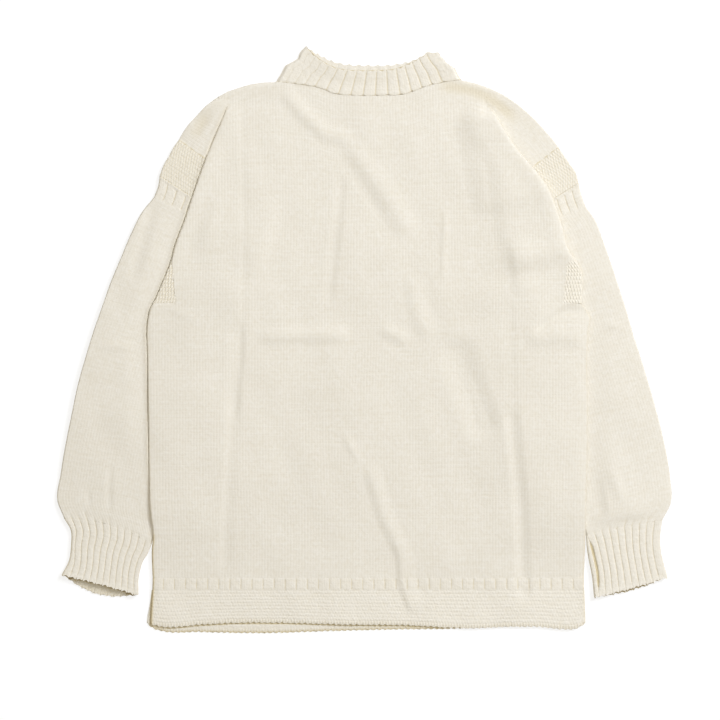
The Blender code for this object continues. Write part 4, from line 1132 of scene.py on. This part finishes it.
def pleats(lengths, lay, s, width, below):
    """Relief of the pleats above a cuff, which run up from the grooves of its ribs, and the shade
    painted in them.
    """
    ribs = len(lengths) + 1
    share = np.interp(s, (0, lay[1], width - lay[2], width), (0, 1, ribs - 1, ribs)) / ribs
    padded = np.array((lengths[0], *lengths, lengths[-1]), float)
    length = padded[np.rint(share * ribs).astype(int)]
    phase = share * ribs % 1.0
    relief = rib_relief(phase, groove=0.16) * (1 - ease(below / length))
    painted_gloom = PLEAT_GLOOM * rib_depth(phase, wide=0.06) * (1 - ease(below / length * 1.5))
    return CUFF_START * relief, painted_gloom


def make_sleeve(name, node, sections, outer_on_left, lengths, lay, cuff_height):
    """Plain sleeve, a tube pressed flat, with the pleats that its cuff gathers."""
    knit = Knitting()
    whole, lines, mean_round = read_sections(sections)
    rows, pleat_rows = SLEEVE_ROWS
    rows_along = np.concatenate([np.linspace(0, whole - PLEATED, rows)[:-1],
                                 np.linspace(whole - PLEATED, whole, pleat_rows)])
    outer, inner = [], []
    for number, at in enumerate(rows_along):
        ox, oy, ix, iy, bow, puff = [line(at) for line in lines]
        width = hypot(ix - ox, iy - oy)
        s, places, wale = sleeve_columns(width, outer_on_left)
        f = s / width
        a, b = ((ox, oy), (ix, iy)) if outer_on_left else ((ix, iy), (ox, oy))
        x, y = mix(a[0], b[0], f), mix(a[1], b[1], f)
        shown = ease((beyond_edge(x, y) + 1.0) / 30.0)
        swell = puff * np.sin(pi * f) ** 0.5 + slack(x, y) + 0.4 * (1 - ease(at / 20))
        crease = np.maximum(swell + crease_height(x, y, sleeve_lines), SLEEVE_DEEPEST)
        lean = LEAN * outer_on_left * (1 - f) * ease(at / 40) * ease((whole - at - 20) / 140)
        lift = pushed_up(x, y) + shown * (lean + crease)
        lift = mix(cuff_height - FLAT, lift, ease((whole - at) / 20))
        fall, painted_gloom = pleats(lengths, lay, s, width, whole - at)
        lift = lift + wale_relief(wale, at / COURSE) + fall
        # Painted shade in the pleats' grooves and beside the left fold
        rings = tube_row(knit, ((ox, oy), (ix, iy)), bow, FLAT, s, lift, wale, -at / COURSE,
                         places, np.maximum(painted_gloom, beside_fold(x, y)),
                         lined=number % 5 == 0 or number == len(rows_along) - 1)
        outer.append(rings[0])
        if rings[1]:
            inner.append(rings[1])
    knit.shell(outer, inner, around=True)
    knit.cast_off(name, node, stocking_wool)


def make_head(name, node, sections, seam):
    """Ribbed sleeve head, from the rope-like armhole seam to the plain sleeve."""
    knit = Knitting()
    whole, lines, mean_round = read_sections([(*seam[0], *seam[1]), *sections])
    share, phase, number = rib_columns(HEAD_RIBS, RIB_FINE)
    outer, inner = [], []
    for at in np.linspace(0, whole, HEAD_ROWS):
        ox, oy, ix, iy = [line(at) for line in lines]
        width = hypot(ix - ox, iy - oy)
        a, b = sorted(((ox, oy), (ix, iy)))
        s = share * width
        x, y = mix(a[0], b[0], share), mix(a[1], b[1], share)
        shown = ease(beyond_edge(x, y) / 5.0)
        rope = 0.6 * np.sin(pi * min(at / 3.6, 1.0)) * (0.7 + 0.3 * np.cos(2 * pi * s / WALE))
        fade = ease((whole - at) / 4.0) * ease((at - 3.0) / 3.0)
        lift = shown * (0.4 + rope) + mix(-0.1, 0.8 * rib_relief(phase, groove=0.1), fade)
        lift = lift + pushed_up(x, y)
        # Painted shade in the ribs' grooves, beside the left fold and in dots along the armhole
        # seam
        painted_gloom = np.maximum(0.36 * fade * rib_depth(phase, wide=0.04), beside_fold(x, y))
        painted_gloom = np.maximum(painted_gloom, 0.45 * np.exp(-(at / 1.3) ** 2) * seam_dots(s))
        rings = tube_row(knit, ((ox, oy), (ix, iy)), 0, FLAT, s, lift,
                         4 * number + rib_wales(phase), -at / COURSE, s, painted_gloom)
        outer.append(rings[0])
        inner.append(rings[1])
    knit.shell(outer, inner, around=True)
    knit.cast_off(name, node, rib_wool)


def make_cuff(name, node, sections, ribs, lay, slit=None):
    """Ribbed cuff with an open, knotted mouth. slit tells how far its first groove opens."""
    knit = Knitting()
    whole, lines, mean_round = read_sections(sections)
    share, phase, number = rib_columns(ribs, RIB_FINE)
    wale = 4 * number + rib_wales(phase)
    knots = knots_at(wale)
    lay_lines = [smooth_line([(row[0], row[n]) for row in lay]) for n in (1, 2)]
    bared = ease(sections[-1][6] / 10)
    rows, mouth_rows = CUFF_ROWS
    outer, inner = [], []
    for at in np.concatenate([np.linspace(0, whole - 5, rows)[:-1],
                              np.linspace(whole - 5, whole, mouth_rows)]):
        ox, oy, ix, iy, bow, height, reach = [line(at) for line in lines]
        width = hypot(ix - ox, iy - oy)
        first, last = [line(at) for line in lay_lines]
        s = np.interp(share * ribs, (0, 1, ribs - 1, ribs), (0, first, width - last, width))
        bulge = np.sin(pi * s / width)
        start = mix(CUFF_START, 1.0, ease(at / 6.0))
        mouth = ease((at - whole + 4.5) / 4.5)
        band = mix(0.25, 1.0, ease((whole - at - 1.0) / 7.0))
        relief = rib_relief(phase) * start * band + 0.5 * mouth * knots
        # Painted shade in the ribs' grooves, and along the left cuff's outer side, which turns from
        # the light
        painted_gloom = 0.4 * band * rib_depth(phase) * start * (0.8 + 0.2 * np.cos(2 * pi * at / COURSE))
        painted_gloom = np.maximum(painted_gloom, 0.4 * (ox < 0) * np.exp(-(s / 1.3) ** 2))
        # The slit sinks, and shade is painted into it as it opens
        if slit:
            opening = np.interp(at, *zip(*slit)) * np.exp(-((s - first) / 1.1) ** 2)
            relief = relief - SLIT_DEEP * opening
            painted_gloom = np.maximum(painted_gloom, opening)
        knot = mouth * KNOT * knots + mouth * 0.5 * np.sin(2.1 * wale)

        # Where the back layer reaches out, its inner face shows ribs and knots past the front's
        back = -0.9 + 0.5 * (rib_relief(phase) + RIB_RISE) + 0.4 * mouth * knots
        past_front = at - whole + reach * bulge - knot
        # Painted shade on that inner face inside the mouth, and in dots between its stitches where
        # it shows past the front
        painted_dark = (1 - ease((past_front - 2.2) / 2.4)) * mix(0.5, 0.85, bared)
        dots = 0.5 + 0.5 * np.cos(2 * pi * wale + 3.0 * np.floor(past_front / 1.7))
        painted_dark = np.maximum(painted_dark, mix(0.0, 0.05 + 0.28 * dots, bared))
        rings = tube_row(knit, ((ox, oy), (ix, iy)), bow, height, s, relief, wale,
                         -at / COURSE, share * 100, painted_gloom,
                         mouth=(back, reach, knot, painted_dark[::-1]))
        outer.append(rings[0])
        inner.append(rings[1])
    knit.shell(outer, inner, around=True)
    knit.cast_off(name, node, rib_wool)


# ---------------------------------------------------------------- collar, bands, gussets, hem

def make_collar():
    """Ribbed collar, pressed flat: the front's layer lies over the back's, which reaches out."""
    knit = Knitting()
    front_edge, back_edge = smooth_path(COLLAR_FRONT_TOP), smooth_path(COLLAR_BACK_TOP)
    sides = np.array(COLLAR_SIDES, float)
    ribs, phase, number = rib_columns(COLLAR_RIBS, RIB_FINE)
    share = smooth_line(COLLAR_SPREAD)(ribs)
    wale = 4 * number + rib_wales(phase)
    back_share, back_phase, back_wale = [row[::-1][1:-1] for row in (share, phase, wale)]
    back_knots = rib_depth(back_phase, wide=0.22)
    knots = knots_at(wale)
    coarse = np.linspace(0, 1, 41)
    side = ease(np.minimum(share, 1 - share) / 0.02)
    ribbed = ease((share - 0.02) / 0.3)
    scallops = 1.1 * rib_depth(phase, wide=0.16) * ease((share - 0.02) / 0.1)

    def spot(base, edge, t, height):
        """X and Y at the share t of the way along the collar."""
        x = mix(*COLLAR_BASE_ENDS, t)
        top_x, top_y = edge(t)
        side = np.where(t < 0.5, *[np.interp(height, sides[:, 0], sides[:, n]) for n in (1, 2)])
        swell = side * np.abs(2 * t - 1) ** 3
        return mix(x, top_x, height) + swell, mix(base(x) + 0.1, top_y, height)

    def opened(t, height):
        """How far the front's layer stands away from the back's."""
        return COLLAR_OPENS * ease((height - 0.35) / 0.65) * ease(np.minimum(t, 1 - t) / 0.2)

    outer, inner = [], []
    for height in np.concatenate([np.linspace(0, 0.12, 6)[:-1],
                                  np.linspace(0.12, COLLAR_EDGE, 26)[:-1],
                                  np.linspace(COLLAR_EDGE, 1, 9)]):
        top = ease((height - COLLAR_EDGE) / (1 - COLLAR_EDGE))
        seam = 1 - ease(height / 0.07)
        relief = 0.8 * rib_relief(phase, groove=0.1) * mix(1, 0.6, top) * mix(0.3, 1, ribbed)
        relief = relief - 0.4 * seam + 0.3 * top * knots
        # Painted shade in the ribs' grooves and, in dots, along the seam at the collar's base
        painted_gloom = np.maximum(mix(0.1, 0.38, ribbed) * rib_depth(phase) * (1 - 0.5 * top),
                           0.35 * (1 - ease(height / 0.035)) * (0.2 + 0.8 * knots))
        x, y = spot(front_neck, front_edge, share, height)
        y = y + top * (KNOT * knots - 0.6) + seam * scallops
        turned = 2.6 * ease((share - 0.76) / 0.22) * ease(height / 0.6)
        z = mix(RIM, FLAT + 0.6 + relief + opened(share, height) + turned, side)
        bx, by = spot(back_neck, back_edge, back_share, height)
        by = by + top * (1.8 * back_knots - 0.4)
        course = height * 14
        outer.append(knit.row(np.concatenate([ribs, 2 + np.arange(len(back_share))]),
                              np.append(x, bx), np.append(y, by),
                              np.append(z, np.full(len(back_share), FLOOR_GAP)),
                              np.append(wale, back_wale), course,
                              np.append(painted_gloom, 0 * back_share), around=True))
        t = np.clip(coarse, 0.012, 0.988)
        fx, fy = spot(front_neck, front_edge, t, height)
        rt = np.clip(back_share, 0.014, 0.986)
        rx, ry = spot(back_neck, back_edge, rt, height)
        ry = ry + top * (1.8 * back_knots - 0.4)
        back_z = WALL - 0.2 - 0.5 * back_knots * mix(1, 0.4, top)
        front_x, front_y = spot(front_neck, front_edge, coarse, 1.0)
        # Painted shadow on the back layer's inner face where the front's edge stands over it
        past = ry - np.interp(rx, front_x, front_y) - 0.6
        painted_dark = np.exp(-(np.maximum(past, 0) / 1.1) ** 2) * mix(1.0, 0.7, ease(rt * 2))
        inner.append(knit.row(np.concatenate([coarse, 2 + np.arange(len(rt))]),
                              np.append(fx, rx), np.append(fy, ry),
                              np.append(LIE + 0.9 * opened(t, height), back_z),
                              np.append(coarse * 80, back_wale), course,
                              np.append(0 * coarse, painted_dark), around=True))
    knit.shell(outer, inner, around=True)
    knit.cast_off("collar_ribbing", "collar", rib_wool)


def make_shoulder_band(name, node, top_line, seam, outline, relief, painted_gloom):
    """Garter band across the end of a shoulder, its ridges along the armhole seam."""
    knit = Knitting()
    top, foot = offset_seam(top_line, 0.1), offset_seam(seam, 0.05)
    between = [point for point in outline if foot[0][1] + 4 < point[1] < top[0][1] - 4]
    side = smooth_path([top[0]] + between[::-1] + [foot[0]])
    rows = GARTER_ROWS * BAND_RIDGES
    outer, inner = [], []
    for number in range(rows + 1):
        t = number / rows
        ox, oy = side(t)
        ix, iy = mix(top[1][0], foot[1][0], t), mix(top[1][1], foot[1][1], t)
        wide = hypot(ix - ox, iy - oy)
        s = np.concatenate([[0, 0.4, 1.0, 1.9], np.linspace(3.0, wide, 52)])
        x, y = mix(ox, ix, s / wide), mix(oy, iy, s / wide)
        furrow = garter_furrow(s / WALE, t * BAND_RIDGES + PAST, filled=0.55, loop=0.5)
        full = FLAT + 0.2 - relief * GARTER_RISE * furrow + 0.4 * slack(x, y) + pushed_up(x, y)
        course = t * BAND_RIDGES * 2
        # Painted shade in the garter furrows and beside the left fold
        painted_shade = np.append(np.zeros(3), np.maximum(painted_gloom * furrow ** 2, beside_fold(x, y)))
        outer.append(knit.row(np.arange(len(s) + 3),
                              *over_edge((ox, oy), (ix, iy), s, full, drop=2.3),
                              np.append(-TURN[:-1], s / WALE), course, painted_shade))
        if number % GARTER_ROWS == 0:
            s, x, y, z = behind_edge((ox, oy), (ix, iy))
            inner.append(knit.row(np.linspace(0, 58, len(s)), x, y, z, s / WALE, course))
    knit.shell(outer, inner)
    knit.cast_off(name, node, garter_wool)


def make_gusset(name, node, edge, seam, inwards, painted_gloom):
    """Garter gusset between the body's side and the front, turned over the fold."""
    knit = Knitting()
    seam_x = straight_line(seam)
    rows = GARTER_ROWS * GUSSET_RIDGES
    outer, inner = [], []
    for number in range(rows + 1):
        t = number / rows
        y = mix(GUSSET_BASE - 0.5, GUSSET_TIP - 0.5, t)
        start = edge(y)
        reach = max(abs(seam_x(y) - start), 3.2)
        s = np.concatenate([[0, 0.3, 0.8, 1.6], np.linspace(2.4, reach, 34)])
        x = start + inwards * s
        ridge = t * GUSSET_RIDGES + PAST
        furrow = garter_furrow(s / WALE, ridge, filled=0.3, loop=0.45)
        rim, seat = fold_rim(y), fold_seat(y)
        z = rounded(s, rim, front_full(x, y) + 0.5 - GARTER_RISE * furrow)
        turn = TURN[:-1]
        # Painted shade on the turned-under edge and in the garter furrows
        outer.append(knit.row(np.arange(len(s) + 3),
                              np.append(start + inwards * CURL * (1 - np.cos(turn)), x), y,
                              np.append(rim - (rim - seat) * np.sin(turn), z),
                              np.append(-turn, s / WALE), ridge * 2,
                              np.append(turn / 3, painted_gloom * furrow ** 2)))
        if number % GARTER_ROWS == 0:
            s = np.array([3.6, 2.0, 2.2, reach])
            x = start + inwards * s
            z = np.array([seat + 0.8, rim, front_full(x[2], y) - 1.6, front_full(x[3], y) - 1.0])
            inner.append(knit.row(np.linspace(0, 40, len(s)), x, y, z, s / WALE, ridge * 2))
    knit.shell(outer, inner)
    knit.cast_off(name, node, garter_wool)


def hem_sides(y):
    """Left and right ends of the hem's pieces."""
    down = ease((HEM - y) / (HEM - WELT_FOOT))
    return [mix(top, foot, down) for top, foot in zip(HEM_ENDS, WELT_ENDS)]


def back_sides(y):
    """Left and right ends of the back's welt, which shows beside the front's on the left."""
    down = ease((RIB_FOOT - y) / 40)
    return [mix(top, foot, down) for top, foot in zip(BACK_HEM_ENDS, BACK_WELT_ENDS)]


def hem_crease(x, y):
    """What the front's creases add to the hem, which lies too close to the back to sink."""
    return np.maximum(crease_height(x, y, body_lines) + slack(x, y), -0.8)


def make_front_rib_band():
    """Two-by-two rib between the front and its welt."""
    knit = Knitting()
    share, phase, number = rib_columns(HEM_RIBS, RIB_FINE)
    wale = 4 * number + rib_wales(phase)
    ribs = 0.7 * rib_relief(phase, groove=0.09)
    outer, inner = [], []
    for y in np.linspace(HEM, RIB_FOOT, 13):
        start, end = hem_sides(y)
        x = mix(start, end, share)
        inward = np.minimum(x - start, end - x)
        side = ease(min((HEM - y) / 3.0, (y - RIB_FOOT) / 3.0))
        full = FLAT + 0.3 + hem_crease(x, y) * ease(inward / 10) + mix(-0.4, ribs, side)
        # Painted shade in the ribs' grooves, and on the outermost line at the sides
        painted_gloom = 0.3 * side * rib_depth(phase, wide=0.04)
        outer.append(knit.row(share, x, y, rounded(inward, RIM, full), wale, y / COURSE,
                              np.maximum(painted_gloom, on_fold(x, y, inward))))
    for y in (HEM, (HEM + RIB_FOOT) / 2, RIB_FOOT):
        t = np.linspace(0, 1, 40)
        x = mix(*hem_sides(y), t)
        sides = mix(SEAT, 9, ease(np.minimum(t, 1 - t) * 60))
        z = np.minimum(LIE + LINING_SHARE * hem_crease(x, y), sides)
        inner.append(knit.row(t, x, y, z, t * 4 * HEM_RIBS, y / COURSE))
    knit.shell(outer, inner)
    knit.cast_off("front_hem_ribbing", "front_rib_band", rib_wool)


def make_back_rib_band():
    """The back's rib, hidden under the front's: its relief is on the underside."""
    knit = Knitting()
    share, phase, number = rib_columns(HEM_RIBS, RIB_COARSE)
    wale = 4 * number + rib_wales(phase)
    outer, inner = [], []
    for y in np.linspace(HEM, RIB_FOOT, 5):
        start, end = hem_sides(y)
        x = mix(start + 3.5, end - 3.5, share)
        under = FLOOR_GAP - 0.5 * rib_relief(phase, groove=0.17)
        inner.append(knit.row(share, x, y, under, wale, y / COURSE))
        outer.append(knit.row(share, x, y, WALL, wale, y / COURSE))
    knit.shell(outer, inner)
    knit.cast_off("back_hem_ribbing", "back_rib_band", rib_wool)


def under_front_welt(x, y, inward):
    """Painted shadow on the back welt where the front welt's edge lies on it."""
    below = front_foot(x) - KNOT - y
    beside = hem_sides(y)[0] - x
    past = np.maximum(np.maximum(below, beside), 0)
    return 0.55 * (1.0 - ease((past - 0.8) / 1.4))


def welt(name, node, foot, sides, per_ridge, per_wale, base, wall, painted_gloom):
    """A garter welt with knots along its cast-on edge."""
    knit = Knitting()
    on_front = base > 1
    columns = WELT_WALES * per_wale
    share = np.arange(columns + 1) / columns
    wale = share * WELT_WALES
    rows = WELT_RIDGES * per_ridge
    outer, inner = [], []
    for number in range(rows + 1):
        t = number / rows
        start, end = sides(mix(RIB_FOOT, WELT_FOOT, t))
        x = mix(start, end, share)
        inward = np.minimum(x - start, end - x)
        edge = ease((t - 0.955) / 0.045)
        y = mix(RIB_FOOT, foot(x), t) - edge * KNOT * knots_at(wale)
        furrow = garter_furrow(wale, t * WELT_RIDGES + PAST)
        loops = ease((t - 0.86) / 0.1) * (1 + np.cos(2 * pi * wale)) / 2
        full = base + wall + 0.2 + hem_crease(x, y) * ease(inward / 10) * on_front
        full = full - 0.45 * GARTER_RISE * furrow - 0.5 * loops - 0.3 * edge
        z = rounded(inward, base + wall / 2, full, radius=2.5)
        # Painted shade between the knots of the cast-on edge, along the back welt's edge and as the
        # given function paints it
        painted_shade = np.maximum(0.15 * loops + 0.5 * edge * (not on_front), painted_gloom(x, y, inward))
        outer.append(knit.row(share, x, y, z, wale, t * WELT_RIDGES * 2, painted_shade))
    for t in (0.0, 0.5, 1.0):
        start, end = sides(mix(RIB_FOOT, WELT_FOOT, t))
        inner_share = np.linspace(0, 1, 60)
        x = mix(start, end, inner_share)
        y = mix(RIB_FOOT, foot(x), t)
        z = base + LINING_SHARE * np.maximum(hem_crease(x, y), 0) * on_front
        inner.append(knit.row(inner_share, x, y, z, inner_share * WELT_WALES, t * WELT_RIDGES * 2))
    knit.shell(outer, inner)
    knit.cast_off(name, node, garter_wool)


# ---------------------------------------------------------------- floor, light, camera

def make_floor():
    """White seamless paper: uncoated, so matte, and lit until it comes out pure white."""
    bpy.ops.mesh.primitive_plane_add(size=12, location=(0, 0, -0.0002))
    floor = bpy.context.object
    floor.name = "floor"
    material = bpy.data.materials.new("white studio sweep")
    material.use_nodes = True
    surface = material.node_tree.nodes["Principled BSDF"]
    surface.inputs["Base Color"].default_value = linear("#A4A4A4")
    surface.inputs["Roughness"].default_value = 0.9
    surface.inputs["Emission Color"].default_value = (1, 1, 1, 1)
    surface.inputs["Emission Strength"].default_value = 0.67
    floor.data.materials.append(material)


def softbox(name, place, size, power, colour):
    """A square softbox that faces the middle of the garment."""
    data = bpy.data.lights.new(name, "AREA")
    data.shape = "SQUARE"
    data.size = size
    data.energy = power
    data.color = linear(colour)[:3]
    lamp = bpy.data.objects.new(name, data)
    lamp.location = place
    lamp.rotation_euler = (-lamp.location).to_track_quat("-Z", "Y").to_euler()
    bpy.context.scene.collection.objects.link(lamp)


def make_light():
    """A key softbox at the upper right, a broad one overhead and the white room around."""
    softbox("key softbox, upper right", place=(2.3, 1.8, 2.8), size=1.4, power=130,
            colour="#F0F5FF")
    softbox("overhead softbox", place=(-0.2, 0.0, 3.6), size=2.4, power=38, colour="#E6F0FF")
    world = bpy.data.worlds.new("white room")
    world.use_nodes = True
    sky = world.node_tree.nodes["Background"]
    sky.inputs["Color"].default_value = linear("#FFF1D4")
    sky.inputs["Strength"].default_value = 0.38
    bpy.context.scene.world = world
    bpy.context.scene.view_settings.view_transform = "Standard"


def make_camera():
    """An 85 mm lens two metres straight above the garment."""
    data = bpy.data.cameras.new("overhead camera")
    data.lens = 85
    data.sensor_width = 36
    camera = bpy.data.objects.new("overhead camera", data)
    camera.location = (-0.0049, -0.025, 2.074)
    bpy.context.scene.collection.objects.link(camera)
    bpy.context.scene.camera = camera


make_camera()
make_light()
make_floor()
make_back()
make_front()
make_collar()
make_front_rib_band()
make_back_rib_band()
welt("front_garter_welt", "front_welt", front_foot, hem_sides, per_ridge=6, per_wale=4, base=LIE,
     wall=WALL, painted_gloom=on_fold)
welt("back_garter_welt", "back_welt", back_foot, back_sides, per_ridge=4, per_wale=3,
     base=FLOOR_GAP, wall=WALL - 0.1, painted_gloom=under_front_welt)
make_shoulder_band("left_garter_band", "left_shoulder_band", LEFT_BAND_TOP, LEFT_ARMHOLE,
                   LEFT_SHOULDER, relief=0.85, painted_gloom=0.22)
make_shoulder_band("right_garter_band", "right_shoulder_band", RIGHT_BAND_TOP, RIGHT_ARMHOLE,
                   RIGHT_SHOULDER, relief=0.8, painted_gloom=0.2)
make_head("left_head_ribbing", "left_sleeve_head", LEFT_HEAD, LEFT_ARMHOLE)
make_head("right_head_ribbing", "right_sleeve_head", RIGHT_HEAD, RIGHT_ARMHOLE)
make_sleeve("left_sleeve_knit", "left_sleeve", LEFT_SLEEVE, True, LEFT_PLEATS,
            LEFT_CUFF_LAY[0], cuff_height=LEFT_CUFF[0][5])
make_sleeve("right_sleeve_knit", "right_sleeve", RIGHT_SLEEVE, False, RIGHT_PLEATS,
            RIGHT_CUFF_LAY[0], cuff_height=RIGHT_CUFF[0][5])
make_cuff("left_cuff_ribbing", "left_cuff", LEFT_CUFF, LEFT_CUFF_RIBS, LEFT_CUFF_LAY)
make_cuff("right_cuff_ribbing", "right_cuff", RIGHT_CUFF, RIGHT_CUFF_RIBS, RIGHT_CUFF_LAY,
          CUFF_SLIT)
make_gusset("left_garter_gusset", "left_gusset", left_edge, LEFT_GUSSET_SEAM, inwards=1,
            painted_gloom=0.25)
make_gusset("right_garter_gusset", "right_gusset", right_edge, RIGHT_GUSSET_SEAM, inwards=-1,
            painted_gloom=0.1)
